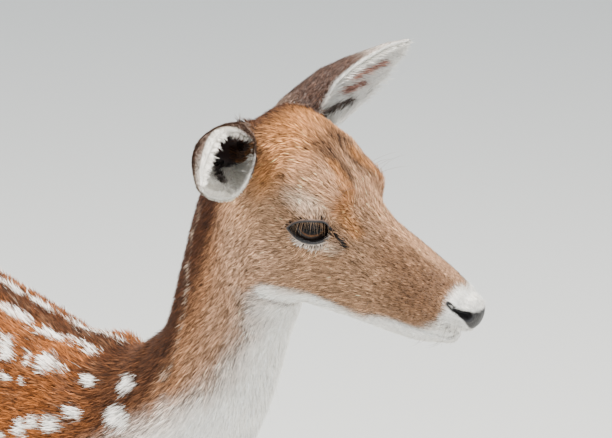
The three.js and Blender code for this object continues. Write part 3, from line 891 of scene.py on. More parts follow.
SPOT_GAP = 52
FLANK_MIDDLE, FLANK_REACH = 640, 150  # height of the trunk's middle, and out from it past the skin
NEAR_SPOTS = [  # on her right shoulder and withers: place, then half length and half width
    (145, -52, 759, 11, 7), (187, -56, 768, 8, 5), (172, -48, 772, 7, 5), (226, -56, 778, 13, 10),
    (248, -50, 780, 6, 4), (287, -43, 780, 10, 6), (346, -40, 799, 12, 8), (352, -50, 768, 19, 10),
    (290, -64, 752, 11, 7), (268, -76, 735, 14, 8), (218, -82, 715, 13, 10), (240, -79, 728, 9, 7),
    (158, -62, 742, 7, 4), (198, -64, 752, 6, 4), (180, -88, 690, 14, 9), (300, -80, 700, 12, 8),
    (250, -92, 672, 13, 9), (160, -95, 655, 13, 9),
]


def spot_on_skin(place, half_length, half_width):
    at = pull_to(np.array([place], float), flesh_only, 8)[0]
    return np.array([*at, half_length, half_width])


def flank_spots():
    """Rows of spots down both flanks, unevenly placed, as centres with their half sizes."""
    spots = [spot_on_skin(spot[:3], *spot[3:]) for spot in NEAR_SPOTS]
    scatter = np.random.default_rng(21)
    for hand in SIDES.values():
        for row, angle in enumerate(np.radians([24, 38, 54, 70, 86, 101])):
            last = 285 if hand > 0 else 125
            for place in np.arange(-345 + 26 * (row % 2), last - 18 * row, SPOT_GAP):
                along = place + scatter.uniform(-13, 13)
                around = angle + scatter.uniform(-0.07, 0.07)
                out, up = np.sin(around) * FLANK_REACH, np.cos(around) * FLANK_REACH
                sizes = scatter.uniform(9, 15), scatter.uniform(6.5, 9.5)
                spots.append(spot_on_skin((along, hand * out, FLANK_MIDDLE + up), *sizes))
    return spots


SPOTS = flank_spots()


def spot_mask(points):
    """1 in the white spots, with edges drawn out along the lie of the coat."""
    mask = np.zeros(len(points))
    for spot in SPOTS:
        away = points - spot[:3]
        near = np.abs(away).max(axis=1) < 34
        if near.any():
            close = away[near]
            lie = unit((-1, 0, -0.35 if abs(spot[1]) > 60 else 0))
            run = close @ lie
            across = np.sqrt(np.maximum((close * close).sum(axis=1) - run * run, 0))
            inside = 1 - np.hypot((run - 2) / spot[3], across / spot[4])
            mask[near] = np.maximum(mask[near], rise(inside, -0.2, 0.4))
    return mask


def mix(colours, mask, colour):
    return colours + (colour - colours) * np.clip(mask, 0, 1)[:, None]


def band(distance, width, softness):
    """1 within a width of a line, fading over its softness."""
    return 1 - rise(distance, width, width + softness)


def trunk_colour(points):
    x, y, z = points.T
    side = np.abs(y)
    lumps = smooth_noise(points, 46, 3)
    fine = smooth_noise(points, 15, 4)
    colour = np.tile(CHESTNUT, (len(points), 1))
    colour = mix(colour, 0.55 * rise(lumps, -0.2, 1), DARK_CHESTNUT)
    colour = mix(colour, rise(-z, -640, -520) * 0.75, FAWN)
    colour = mix(colour, 0.8 * band(side, 7, 9) * rise(z, 700, 745), SOOT)
    colour = mix(colour, 0.85 * rise(x, 225, 300) * rise(z - 0.5 * side, 715, 760), DARK_NAPE)
    gaps = rise(np.sin(x / 13 + 2.2 * fine), -0.3, -0.9)
    line = np.abs(side - 16 - 6 * rise(-x, -60, 60) - 2 * fine) + 6 * gaps
    line = line + 20 * (1 - rise(-np.abs(x + 35), -330, -290))
    colour = mix(colour, 0.9 * band(line, 2.4, 3) * rise(z, 700, 745), WHITE)
    colour = mix(colour, 0.96 * spot_mask(points), WHITE)
    flank = np.abs(z - 566 - 0.0004 * (x + 40) ** 2 - 5 * lumps)
    along = band(np.abs(x + 40), 150, 40)
    colour = mix(colour, 0.85 * along * band(flank, 7, 7) * rise(side, 60, 85), WHITE)
    belly = rise(-z - 0.12 * np.abs(x), -560, -515)
    colour = mix(colour, belly, CREAM)
    rump = np.hypot((x + 412) / 46, (z - 690) / 86)
    rump = rump + 0.6 * rise(side, 46, 80)
    colour = mix(colour, band(np.abs(rump - 1.05), 0.04, 0.16) * (x < -300), SOOT)
    colour = mix(colour, band(rump, 0.92, 0.16) * (x < -300), WHITE)
    return mix(colour, 0.1 * rise(fine, 0, 1), PALE_FAWN)


def throat_white(points):
    """1 on the white front of the throat, which turns with the head and widens downward."""
    s, angle = NECK.along_and_around(points)
    middle = 180 - 20 * rise(s, 150, 320)
    half = np.interp(s, [40, 150, 210, 241, 265, 288, 319, 390], [80, 72, 60, 47, 37, 33, 30, 34])
    away = np.abs((np.degrees(angle) - middle + 180) % 360 - 180)
    return rise(half - away + 4 * smooth_noise(points, 20, 15), -42, 15) * rise(s, -40, 90)


def neck_colour(points):
    s, angle = NECK.along_and_around(points)
    around = np.degrees(np.abs(angle)) + 4 * smooth_noise(points, 34, 5)
    up = rise(s, 0, 260)
    colour = CHESTNUT + (NECK_BROWN - CHESTNUT) * up[:, None]
    colour = mix(colour, (0.75 - 0.45 * up) * rise(around, 85, 135), PALE_FAWN)
    colour = mix(colour, 0.6 * up * rise(around, 90, 125), GREY_FAWN)
    colour = mix(colour, 0.95 * (1 - rise(around, 58, 104)) * (0.6 + 0.4 * up), DARK_NAPE)
    line = 40 + np.clip(0.6 * (345 - s), 0, 40) + 3 * smooth_noise(points, 9, 16)
    fleck = band(np.abs(around - line), 1.5, 4.5) * rise(smooth_noise(points, 8, 6), -0.3, 0.6)
    colour = mix(colour, 0.36 * fleck * rise(s, 190, 240) * (1 - rise(s, 350, 375)), CREAM)
    colour = mix(colour, 0.96 * spot_mask(points), WHITE)
    return mix(colour, throat_white(points), WHITE)


def leg_colour(points):
    x, y, z = points.T
    colour = np.tile(linear(158, 112, 76), (len(points), 1))
    colour = mix(colour, rise(z, 380, 560), CHESTNUT)
    middle = np.where(x > 0, 66, 69)
    inner = rise(middle - np.abs(y), 0, 14)
    colour = mix(colour, inner * (0.5 + 0.5 * rise(z, 150, 420)), CREAM)
    colour = mix(colour, 0.5 * band(np.abs(z - 42), 4, 12), UMBER)
    return mix(colour, 0.25 * rise(smooth_noise(points, 30, 8), 0, 1), FAWN)


def tail_colour(points):
    behind = rise(-(points[:, 0] + 0.12 * (740 - points[:, 2])), 402, 420)
    colour = np.tile(WHITE, (len(points), 1))
    return mix(colour, behind, SOOT * 1.2)


def nose_pad(about):
    """1 on the bare black skin round the nostrils."""
    x, y, z = about.T
    bottom = np.interp(y, [0, 8, 11, 15, 20, 22], [-50, -49, -47, -42, -35, -31])
    top = np.interp(y, [0, 6, 12, 19, 23], [-30.5, -31, -31.5, -31, -29])
    inside = np.minimum(z - bottom, top - z)
    pad = rise(inside, -1, 1.2) * rise(x, 122, 125)
    tail = from_path(about, NOSTRIL[:3])[0]
    return np.maximum(pad, band(tail, 1.8, 1.6))


def eye_rim(about):
    """The bare dark edge of the lids and the tear slit, with the place around the eye."""
    past, lid = past_lid(about)
    forward, up, out = lid_plane(about)
    by_eye = (np.hypot(forward * 0.85, up) < 21) & (out > 0)
    rim = by_eye * band(past, np.where(lid > 0, 1.7, 2), 0.8)
    return np.maximum(rim, band(from_path(about, TEAR_SLIT)[0], 1.9, 1.2)), past, lid, by_eye


DARK_ARC = laid([(-25, 12, 48), (-13, 13, 41), (1, 15, 34)])
ORANGE_ARC = laid([(-8, 18, 40), (5, 26, 34), (16, 33, 24), (28, 36, 10), (38, 33, 2)])
PARTING = laid([(-56, 34, 48), (-46, 39, 42), (-39, 42, 35), (-40, 49, 12)])


def face_colour(points):
    about = fold_over(points)
    x, y, z = about.T
    lumps = smooth_noise(points, 22, 9)
    ticks = rise(smooth_noise(points, 4, 10), -0.5, 0.5)
    colour = np.tile(FAWN, (len(points), 1))
    top = rise(z + 0.1 * x + 4 * lumps, -12, 22)
    colour = mix(colour, 0.95 * top, PALE_FAWN)
    colour = mix(colour, 0.7 * rise(-x, -6, 40) * rise(-z, 18, 46), GREY_FAWN)
    colour = mix(colour, 0.95 * patch(about, (-62, 12, 52), (62, 62, 44)) ** 0.7, ORANGE)
    colour = mix(colour, 0.85 * patch(about, (-58, 46, 24), (30, 30, 38)), ORANGE)
    colour = mix(colour, 0.6 * patch(about, (-55, 30, 40), (56, 50, 46)) ** 0.6 * (1 - ticks), UMBER)
    arc = band(from_path(about, DARK_ARC)[0] + 1.5 * lumps, 5, 11)
    colour = mix(colour, arc * (0.5 + 0.45 * ticks), UMBER * 0.3)
    arc = band(from_path(about, ORANGE_ARC)[0] + 2 * lumps, 3, 8)
    colour = mix(colour, 0.65 * arc, ORANGE)
    # Painted shade along the hair parting on the crown.
    part, share = from_path(about, PARTING)
    colour = mix(colour, (0.95 - 0.45 * share) * band(part + lumps, 1 + 1.5 * (1 - share), 3.5), UMBER * 0.5)
    muzzle = patch(about, (96, 24, -36), (54, 30, 38)) ** 0.7
    colour = mix(colour, 0.9 * muzzle, MUZZLE_BROWN)
    colour = mix(colour, 0.6 * band(np.abs(z + 12), 6, 12) * rise(x, 36, 60) * (y > 8), MUZZLE_BROWN)
    rim, past, lid, by_eye = eye_rim(about)
    ring = by_eye * (lid < 0) * band(np.abs(past - 3.4), 0.6, 2.2) * rise(x - eye_middle(1)[0], -14, -4)
    colour = mix(colour, 0.45 * ring, WHITE)
    above = patch(about, (-16, 42, 10), (26, 22, 15)) ** 0.6
    colour = mix(colour, 0.5 * above, CREAM)
    colour = mix(colour, 0.35 * patch(about, (18, 44, -18), (18, 16, 10)), CREAM)
    edge = np.interp(x, [-60, -44, -34, 0, 28, 50, 72, 100, 122],
                     [-92, -86, -79, -73, -76, -76, -70, -63, -52])
    white = rise(edge - z + 3 * lumps, -4, 6)
    jaw_line = z + 89 + 0.33 * (x + 49)
    under = rise(-jaw_line, -2, 4) * (1 - rise(x, 0, 30))
    white = white * rise(x, -56, -38)
    colour = mix(colour, white + (throat_white(points) - white) * under, WHITE)
    # A painted shadow along the jaw's lower edge, where the jaw overhangs the throat.
    lid_crease_and_jaw_shadow = band(np.abs(jaw_line), 0.8, 4) * (1 - rise(x, -16, 4)) * rise(x, -62, -44)
    colour = mix(colour, 0.5 * lid_crease_and_jaw_shadow, UMBER)
    colour = mix(colour, rise(x + 0.18 * (y - 12) + 2 * lumps, 117, 125), WHITE)
    for forward, up in WHISKER_DOTS:
        colour = mix(colour, 0.9 * band(np.hypot(x - forward, z - up), 0.5, 0.9) * (y > 6), UMBER * 0.5)
    colour = mix(colour, rim, BARE_BLACK)
    # Painted shade where the head is pressed into the foot of each ear.
    return mix(colour, in_ear_mouth(points), HOLLOW_SHADE)


def ear_colour(points):
    """White inside with bare pinkish streaks and painted shade in the canal, grey brown behind."""
    colour = np.tile(EAR_GREY, (len(points), 1))
    nearest = np.full(len(points), 1e9)
    for name, one in EARS.items():
        share, angle, spread, out, past = ear_place(one, points)
        mine = np.abs(out) + past < nearest
        nearest = np.minimum(nearest, np.abs(out) + past)
        across = np.abs(angle) / spread
        back = np.tile(EAR_GREY, (len(points), 1))
        dark, edge = EAR_BACK[name]
        back = mix(back, dark * rise(share, 0.08, 0.25) * (1 - rise(share, 0.6, 0.82)), EAR_DARK)
        back = mix(back, 0.9 * rise(share, 0.62, 0.85), EAR_TIP)
        back = mix(back, rise(across, edge, edge + 0.06) * rise(share, 0.22, 0.36), WHITE)
        front = np.tile(WHITE, (len(points), 1))
        around = np.degrees(angle) * 0.42
        flat = np.stack([share * EAR_LENGTH, around, 0 * share], axis=1)
        for low, turn, high, last_turn, half, shade in EAR_STREAKS[name]:
            ends = [(low * EAR_LENGTH, turn * 0.42, 0), (high * EAR_LENGTH, last_turn * 0.42, 0)]
            streak = band(from_path(flat, ends)[0] + smooth_noise(points, 5, 12), half, 2.5)
            front = mix(front, 0.9 * streak, shade)
        # Painted shade down in the canal at the ear's foot.
        front = mix(front, 1 - rise(share, 0.03, 0.1), HOLLOW_SHADE)
        both = np.where((out < 0)[:, None], front, back)
        colour = np.where(mine[:, None], both, colour)
    return colour


def head_share(points):
    """1 on the head, falling to 0 where the neck takes over."""
    head = to_head(points)
    return rise(-np.linalg.norm(head - (30, 0, -22), axis=1), -140, -112)


def coat_colour(points, kind):
    """Colours of skin or coat at places on one kind of region."""
    if kind == "ear":
        return ear_colour(points)
    if kind == "tail":
        return tail_colour(points)
    if kind == "head":
        share = head_share(points)[:, None]
        return face_colour(points) * share + neck_colour(points) * (1 - share)
    neck = neck_share(points)[:, None]
    if kind == "neck":
        return neck_colour(points) * neck + trunk_colour(points) * (1 - neck)
    colour = trunk_colour(points) * (1 - neck) + neck_colour(points) * neck
    leg = rise(-points[:, 2], -560, -480)[:, None]
    return leg_colour(points) * leg + colour * (1 - leg)


def neck_share(points):
    return rise(NECK.along_and_around(points)[0], 20, 120) * rise(points[:, 0], 250, 330)


def region(points):
    """Which part of the coat each place belongs to."""
    kinds = np.full(len(points), "trunk", "<U6")
    x, y, z = points.T
    kinds[(z < 500) & (np.abs(y) > 24)] = "leg"
    kinds[neck_share(points) > 0.5] = "neck"
    kinds[head_share(points) > 0.02] = "head"
    tail = (x < -380) & (np.abs(y) < 24)
    tail[tail] &= TAIL(points[tail]) < 3
    kinds[tail] = "tail"
    near_head = near_eyes(points, EARS_REACH + 20)
    places = points[near_head]
    for one in EARS.values():
        share, _, _, out, past = ear_place(one, places)
        clear = (flesh_only(places) > 0.8) | ((out < -0.3) & (in_ear_mouth(places) > 0))
        on_ear = (np.abs(out) < 2.4) & (past < 2.5) & (share > -0.1) & clear
        kinds[np.flatnonzero(near_head)[on_ear]] = "ear"
    return kinds


def put_colours(mesh, name, colours):
    layer = mesh.attributes.new(name, "FLOAT_COLOR", "POINT")
    rgba = np.ones((len(colours), 4), np.float32)
    rgba[:, :3] = colours
    layer.data.foreach_set("color", rgba.ravel())


def put_values(mesh, name, values):
    layer = mesh.attributes.new(name, "FLOAT", "POINT")
    layer.data.foreach_set("value", np.asarray(values, np.float32))


def paint_skin(skin):
    """The markings on the skin, painted shade in the nostrils, and where it is bare and damp."""
    points = places_of(skin)
    kinds = region(points)
    colours = np.zeros((len(points), 3))
    for kind in np.unique(kinds):
        colours[kinds == kind] = coat_colour(points[kinds == kind], kind)
    about = fold_over(points)
    near = near_eyes(points, FACE_REACH)
    bare = np.zeros(len(points))
    rim, past, side, by_eye = eye_rim(about[near])
    lid = by_eye * (side > 0) * band(np.abs(past - 2.2), 1.6, 0.8)
    mouth, share = from_path(about[near], MOUTH)
    lips = band(mouth, 0.5, 0.8) * rise(share, 0.45, 0.7)
    pad = nose_pad(about[near])
    face = kinds[near] != "ear"
    close = colours[near]
    close = mix(close, 0.8 * lid * face, LID_SKIN)
    close = mix(close, np.maximum.reduce([rim, pad, lips]) * face, BARE_BLACK)
    colours[near] = close
    # The nostril holes are painted near black: painted shade inside them.
    nostril, along = from_path(about[near], NOSTRIL)
    hole = band(nostril, 1 + 1.8 * along, 0.8)
    colours[near] = mix(colours[near], hole * face, HOLLOW_SHADE * 0.2)
    bare[near] = np.maximum.reduce([rim, pad, 0.6 * lid, lips]) * face * (1 - hole)
    put_colours(skin.data, "Coat", colours)
    put_values(skin.data, "Bare", bare)


# ------------------------------------------------------------------ coat

UV_PATCH = 0.003
COAT_PIECES = [  # name, region, from and to along the body, tufts, finish
    ("coat_cheeks", "head", -999, 535, 60000, "face_coat"),
    ("coat_muzzle", "head", 535, 999, 58000, "face_coat"),
    ("coat_neck", "neck", -999, 425, 60000, "neck_coat"),
    ("coat_throat", "neck", 425, 999, 52000, "neck_coat"),
    ("coat_shoulders", "trunk", 90, 999, 64000, "body_coat"),
    ("coat_barrel", "trunk", -170, 90, 50000, "body_coat"),
    ("coat_haunches", "trunk", -999, -170, 50000, "body_coat"),
    ("coat_legs", "leg", -999, 999, 50000, "leg_coat"),
    ("coat_ears", "ear", -999, 999, 44000, "ear_coat"),
    ("coat_tail", "tail", -999, 999, 6000, "tail_coat"),
]
CLUMP = {"head": 1.7, "ear": 2.6, "neck": 1.4, "trunk": 1.9, "leg": 1.9, "tail": 1.9}  # widths of locks
STREAK = {"trunk": 3.5, "neck": 3.5}  # how far markings are drawn out along the hair
SHORT_STREAK = 0.5
EDGE_BLUR = 0.7  # how far the edges of markings mingle
TICKING = {"each": 0.26, "lock": 0.5, "broad lock": 0.16}  # spread of the tufts' brightness
DARK_TUFTS, DARK_SHADE = 0.3, 0.36  # how many tufts are dark, and how dark
# Tufts are darkened toward the root: painted shade deep in the coat.
SHADES = ((0.62, 0.25), (0.92, 0.04), (1.22, -0.14))  # root, middle and tip, and how pale hair differs


def skin_triangles(skin):
    """The skin's triangles: their corners' places and normals, areas and regions."""
    mesh = skin.data
    mesh.calc_loop_triangles()
    corners = np.empty(len(mesh.loop_triangles) * 3, np.int32)
    mesh.loop_triangles.foreach_get("vertices", corners)
    corners = corners.reshape(-1, 3)
    places = from_frame(get_points(mesh))[corners]
    areas = 0.5 * np.linalg.norm(
        np.cross(places[:, 1] - places[:, 0], places[:, 2] - places[:, 0]), axis=1)
    return {"places": places, "normals": get_normals(mesh)[corners], "areas": areas,
            "kinds": region(places.mean(axis=1))}


def scatter_roots(triangles, chosen, weights, count):
    """Random places over some of the skin's triangles, with the normals there."""
    index = np.flatnonzero(chosen)
    heap = np.cumsum(triangles["areas"][index] * weights)
    picked = index[np.searchsorted(heap, random.uniform(0, heap[-1], count))]
    a, b = random.uniform(size=(2, count))
    over = a + b > 1
    a[over], b[over] = 1 - a[over], 1 - b[over]
    shares = np.stack([1 - a - b, a, b], axis=1)[:, :, None]
    roots = (triangles["places"][picked] * shares).sum(axis=1)
    return roots, unit((triangles["normals"][picked] * shares).sum(axis=1) + 1e-9)


def turned_about(vectors, axes, angles):
    return vectors * np.cos(angles)[:, None] + np.cross(axes, vectors) * np.sin(angles)[:, None]


def head_lie(points):
    """Back from the nose, down the cheeks, and away from the rims of the eyes."""
    about = fold_over(points)
    x, y, z = about.T
    lie = np.tile((-1.0, 0, 0), (len(points), 1))
    lie[:, 2] -= 0.55 * rise(-z, 10, 50) * rise(-x, -60, 10)
    behind = rise(-x, 40, 58) * rise(y, 16, 36)
    lie += behind[:, None] * np.array([0.35, 0.3, -1.1])
    crown = rise(z, 18, 40) * rise(-x, 0, 40)
    lie[:, 1] += 0.45 * crown * rise(y, 0, 26)
    from_eye = about - (eye_middle(1) + np.array([2, 14, 0]))
    near_eye = 1 - rise(np.linalg.norm(from_eye, axis=1), 13, 30)
    lie += near_eye[:, None] * unit(from_eye) * 1.5
    lie[:, 1] *= np.sign(to_head(points)[:, 1])
    return lie @ HEAD_AXES


def lie_of_coat(points, normals, kind):
    """The way the hair points, along the skin."""
    x, y, z = points.T
    zero = np.zeros(len(points))
    down_neck = np.tile(-unit((250, 43, 375)), (len(points), 1))
    side = rise(np.abs(y), 36, 95)
    haunch = rise(-x, 240, 350)
    drop = -0.4 * side - 0.9 * haunch * rise(-x, 300, 400)
    along_trunk = np.stack([haunch * 0.35 - 1, zero, drop], axis=1)
    chest = rise(x, 250, 330) * rise(-z, -640, -560)
    along_trunk = along_trunk + chest[:, None] * np.array([0.8, 0, -1])
    down_leg = np.stack([zero - 0.15, zero, zero - 1], axis=1)
    if kind == "ear":
        lie = np.zeros((len(points), 3))
        for one in EARS.values():
            mine = np.sign(to_head(points)[:, 1]) == one["hand"]
            _, angle, _, out, _ = ear_place(one, points[mine])
            sideways = np.sin(angle)[:, None] * one["side"] * np.where(out < 0, 0.9, 0.25)[:, None]
            lie[mine] = (one["along"] + sideways) @ HEAD_AXES
    elif kind == "tail":
        lie = np.stack([zero - 0.25, zero, zero - 1], axis=1)
    elif kind == "head":
        share = head_share(points)[:, None]
        lie = head_lie(points) * share + down_neck * (1 - share)
    else:
        share = neck_share(points)[:, None]
        lie = down_neck * share + along_trunk * (1 - share)
        leg = rise(-z, -600, -490)[:, None]
        lie = down_leg * leg + lie * (1 - leg)
    wave = 0.2 if kind == "head" else 0.1
    swirl = wave * smooth_noise(points, 42, 14) + random.normal(0, 0.13, len(points))
    lie = unit(lie - normals * (lie * normals).sum(axis=1)[:, None])
    return unit(turned_about(lie, normals, swirl))


def hair_sizes(points, kind):
    """Length and width of the tufts, and how high their tips stand."""
    depth = coat_depth(points)
    z = points[:, 2]
    if kind == "head":
        about = fold_over(points)
        back = rise(-about[:, 0], -110, 50)
        eye = 1 - rise(from_eyeball(about), 18, 32)
        muzzle = rise(about[:, 0], 30, 110)
        length = (4.4 + 4.2 * back - 1.3 * muzzle) * (1 - 0.4 * eye)
        return length, 0.46 + 0.24 * back, depth * 0.75
    if kind == "neck":
        low = rise(-z, -980, -760)
        return 8.5 + 4 * low, 0.55 + 0.2 * low, depth * 0.62
    if kind == "leg":
        low = rise(-z, -480, -180)
        return 15 - 8 * low, 1.2 - 0.4 * low, depth * 0.7
    if kind == "tail":
        return np.full(len(z), 26.0), np.full(len(z), 1.3), np.full(len(z), 4.0)
    if kind == "ear":
        inner = np.zeros(len(z), bool)
        rim, end, root = np.zeros(len(z)), np.zeros(len(z)), np.zeros(len(z))
        for one in EARS.values():
            mine = np.sign(to_head(points)[:, 1]) == one["hand"]
            share, angle, spread, out, _ = ear_place(one, points[mine])
            inner[mine] = out < 0
            rim[mine] = rise(np.abs(angle) / spread, 0.85, 1)
            end[mine] = rise(share, 0.75, 1)
            root[mine] = rise(-share, -0.42, -0.18)
        length = (np.where(inner, 11 - 7 * root, 5.0) - 2 * rim) * (1 - 0.5 * end)
        return length, np.full(len(z), 0.5), np.where(inner, 4.2, 1.2) * (1 - 0.5 * end) + 0.8 * rim
    return 13 + 4 * rise(-z, -700, -560), np.full(len(z), 0.95), depth * 0.7


def leg_forms():
    return [leg_form(hand, step[name]) for leg_form, step in ((foreleg, FORE_STEP), (hindleg, HIND_STEP))
            for name, hand in SIDES.items()]


def unwrapped(points, kind):
    """A place on the flat for each place on the skin, by the part's own length and girth."""
    if kind == "head":
        local = to_head(points)
        around, along = np.arctan2(local[:, 1], local[:, 2] + 30), (local[:, 0] + 150) / 310
        return np.stack([around / (2 * np.pi) + 0.5, along], axis=1)
    if kind == "ear":
        flat = np.zeros((len(points), 2))
        for column, one in enumerate(EARS.values()):
            mine = np.sign(to_head(points)[:, 1]) == one["hand"]
            share, angle, spread, out, _ = ear_place(one, points[mine])
            strip = column * 2 + (out < 0)
            flat[mine, 0] = (strip + 0.5 + 0.47 * np.clip(angle / spread, -1, 1)) / 4
            flat[mine, 1] = (share + 0.15) / 1.2
        return flat
    if kind == "leg":
        places = [form.along_and_around(points) for form in leg_forms()]
        column = 2 * (points[:, 0] < 0) + (points[:, 1] < 0)
        around = np.choose(column, [angle for _, angle in places])
        return np.stack([(column + 0.5 + 0.94 * around / (2 * np.pi)) / 4, points[:, 2] / 560], axis=1)
    form, low, high = {"neck": (NECK, -80, 470), "tail": (TAIL, 580, 800)}.get(kind, (BARREL, -440, 420))
    s, angle = form.along_and_around(points)
    return np.stack([angle / (2 * np.pi) + 0.5, (s - low) / (high - low)], axis=1)


def bald(points, kind):
    """Where no hair grows: the nose pad, nostrils, lips, lids, tear slits and ear canals."""
    about = fold_over(points)
    if kind == "ear":
        deep = np.zeros(len(points), bool)
        for one in EARS.values():
            share, _, _, out, past = ear_place(one, points)
            deep |= (out < 0) & (np.abs(out) < 3) & (past < 1) & (share < 0.06)
        return deep
    if kind != "head":
        return np.zeros(len(points), bool)
    _, past, lid, by_eye = eye_rim(about)
    edge = np.where(lid > 0, 1.9, 2.2)
    mouth, share = from_path(about, MOUTH)
    nostril, along = from_path(about, NOSTRIL)
    return ((by_eye & (past < edge)) | (nose_pad(about) > 0.5) | (mouth < 0.9)
            | (nostril < 1.6 + 2 * along) | (from_path(about, TEAR_SLIT)[0] < 1.8)
            | (in_ear_mouth(points) > 0.3))


def ribbon_mesh(name, rows, tip, colours, uv):
    """Tufts as one mesh: each is a quad from the root to its middle and a triangle to its tip.
    Rows are the four corners of the quads; colours are given for root, middle and tip."""
    count = len(tip)
    points = np.stack([*rows, tip], axis=1).reshape(-1, 3)
    mesh = bpy.data.meshes.new(name)
    mesh.vertices.add(5 * count)
    mesh.vertices.foreach_set("co", to_frame(points).astype(np.float32).ravel())
    corners = (np.arange(count)[:, None] * 5 + np.array([0, 1, 3, 2, 2, 3, 4])).ravel()
    mesh.loops.add(len(corners))
    mesh.loops.foreach_set("vertex_index", corners.astype(np.int32))
    starts = (np.arange(count)[:, None] * 7 + np.array([0, 4])).ravel()
    mesh.polygons.add(2 * count)
    mesh.polygons.foreach_set("loop_start", starts.astype(np.int32))
    mesh.polygons.foreach_set("use_smooth", np.ones(2 * count, bool))
    mesh.update(calc_edges=True)
    put_colours(mesh, "Coat", np.repeat(colours, [2, 2, 1], axis=1).reshape(-1, 3))
    half = UV_PATCH / 2
    patch_corners = np.array([(-half, 0), (half, 0), (half, half), (-half, half),
                              (-half, half), (half, half), (0, 2 * half)])
    spread = np.clip(uv, 2 * half, 1 - 3 * half)[:, None, :] + patch_corners
    layer = mesh.uv_layers.new(name="OFBake")
    layer.data.foreach_set("uv", spread.astype(np.float32).ravel())
    return mesh


def grow_coat(name, kind, roots, normals):
    """One piece of coat: a thin tuft at each root, lying along the skin to a raised tip."""
    keep = ~bald(roots, kind)
    roots, normals = roots[keep], normals[keep]
    count = len(roots)
    lie = lie_of_coat(roots, normals, kind)
    length, width, lift = hair_sizes(roots, kind)
    fine = CLUMP[kind]
    grain = {"head": HEAD_AXES[0], "neck": unit((250, 43, 375))}.get(kind, np.array([1.0, 0, 0]))
    drawn_out = roots - 0.7 * (roots @ grain)[:, None] * grain
    lock = smooth_noise(drawn_out, fine, 31)
    broad_lock = smooth_noise(drawn_out, 2.6 * fine, 32)
    length = length * random.uniform(0.7, 1.3, count)
    lift = lift * random.uniform(0.35, 1.25, count) * (1 + 0.35 * np.clip(lock, -1, 1))
    across = np.cross(lie, normals) * (width * random.uniform(0.7, 1.25, count) / 2)[:, None]
    bend = np.cross(lie, normals) * (length * random.normal(0, 0.09, count))[:, None]
    start = roots - normals * 0.4
    middle = roots + lie * (0.5 * length)[:, None] + normals * (0.62 * lift)[:, None] + bend * 0.3
    tip = roots + lie * length[:, None] + normals * lift[:, None] + bend
    blur = 0 if kind == "ear" else EDGE_BLUR
    streak = STREAK.get(kind, SHORT_STREAK)
    marked_at = roots + random.normal(0, 1, (count, 3)) * blur
    marked_at = marked_at + lie * random.normal(0, streak, count)[:, None]
    colour = coat_colour(marked_at, kind)
    bright = colour.mean(axis=1)
    pale = rise(bright, 0.35, 0.65)
    uneven = random.normal(0, TICKING["each"], count)
    uneven = uneven + TICKING["lock"] * lock + TICKING["broad lock"] * broad_lock
    ticking = np.exp(uneven * (1 - 0.7 * pale))
    dark = random.uniform(size=count) < DARK_TUFTS * (1 - pale)
    ticking[dark] *= DARK_SHADE
    # Darker roots are painted shade deep in the coat.
    shades = np.stack([shade + change * pale for shade, change in SHADES], axis=1)
    colours = np.clip(colour[:, None, :] * (ticking[:, None] * shades)[:, :, None], 0, 0.92)
    rows = [start - across, start + across, middle - across * 0.85, middle + across * 0.85]
    mesh = ribbon_mesh(name, rows, tip, colours, unwrapped(roots, kind))
    tilt = 0.2 * random.normal(size=count) + 0.2 * broad_lock
    facing = unit(normals + tilt[:, None] * unit(across) - 0.12 * lie)
    mesh.normals_split_custom_set_from_vertices(np.repeat(facing, 5, axis=0).astype(np.float32).tolist())
    return new_object(name, mesh)


def in_piece(triangles, kind, low, high):
    x = triangles["places"].mean(axis=1)[:, 0]
    return (triangles["kinds"] == kind) & (x > low) & (x <= high)


def thicken_face(points):
    """More, smaller tufts toward the muzzle and round the eyes."""
    about = fold_over(points)
    eye = 1 - rise(from_eyeball(about), 18, 40)
    return 1 + 0.9 * rise(about[:, 0], 10, 90) + 1.2 * eye


def build_coat(skin):
    """All pieces of the coat, as (object, slot)."""
    triangles = skin_triangles(skin)
    middles = triangles["places"].mean(axis=1)
    pieces = []
    for name, kind, low, high, count, slot in COAT_PIECES:
        chosen = in_piece(triangles, kind, low, high)
        weights = thicken_face(middles[chosen]) if kind == "head" else np.ones(chosen.sum())
        roots, normals = scatter_roots(triangles, chosen, weights, count)
        pieces.append((grow_coat(name, kind, roots, normals), slot))
    return pieces


# ------------------------------------------------------------------ long hairs

HAIR_STEPS, HAIR_SIDES = 7, 3
LASHES = 26  # on each upper lid
LASH_THICKNESS = 0.28
WHISKER_THICKNESS = 0.3
WITHERS_HAIRS, THROAT_HAIRS = 70, 60


def hair_strands(name, strands, colour):
    """Long single hairs: thin three-sided tubes, each bent along its own arc."""
    steps, sides = HAIR_STEPS, HAIR_SIDES
    points, faces = [], []
    for start, direction, sag, length, thickness in strands:
        direction = unit(direction)
        across = unit(np.cross(direction, (0.3, 0.2, 1)))
        above = np.cross(across, direction)
        for step in range(steps):
            t = step / (steps - 1)
            centre = start + direction * length * t + np.array(sag, float) * length * t * t
            radius = thickness / 2 * (1 - 0.85 * t)
            for side in range(sides):
                turn = 2 * np.pi * side / sides
                points.append(centre + radius * (np.cos(turn) * across + np.sin(turn) * above))
        base = len(points) - steps * sides
        for step in range(steps - 1):
            for side in range(sides):
                a, b = base + step * sides + side, base + step * sides + (side + 1) % sides
                faces.append((a, b, b + sides, a + sides))
        last = base + (steps - 1) * sides
        faces.append((base, base + 2, base + 1))
        faces.append((last, last + 1, last + 2))
    mesh = bpy.data.meshes.new(name)
    mesh.from_pydata(to_frame(np.array(points)).tolist(), [], faces)
    put_colours(mesh, "Coat", np.tile(colour, (len(points), 1)))
    piece = new_object(name, mesh)
    face_outwards(piece)
    bpy.ops.object.shade_smooth()
    return piece


def on_skin(places):
    return pull_to(from_head(places), flesh_only, 4)


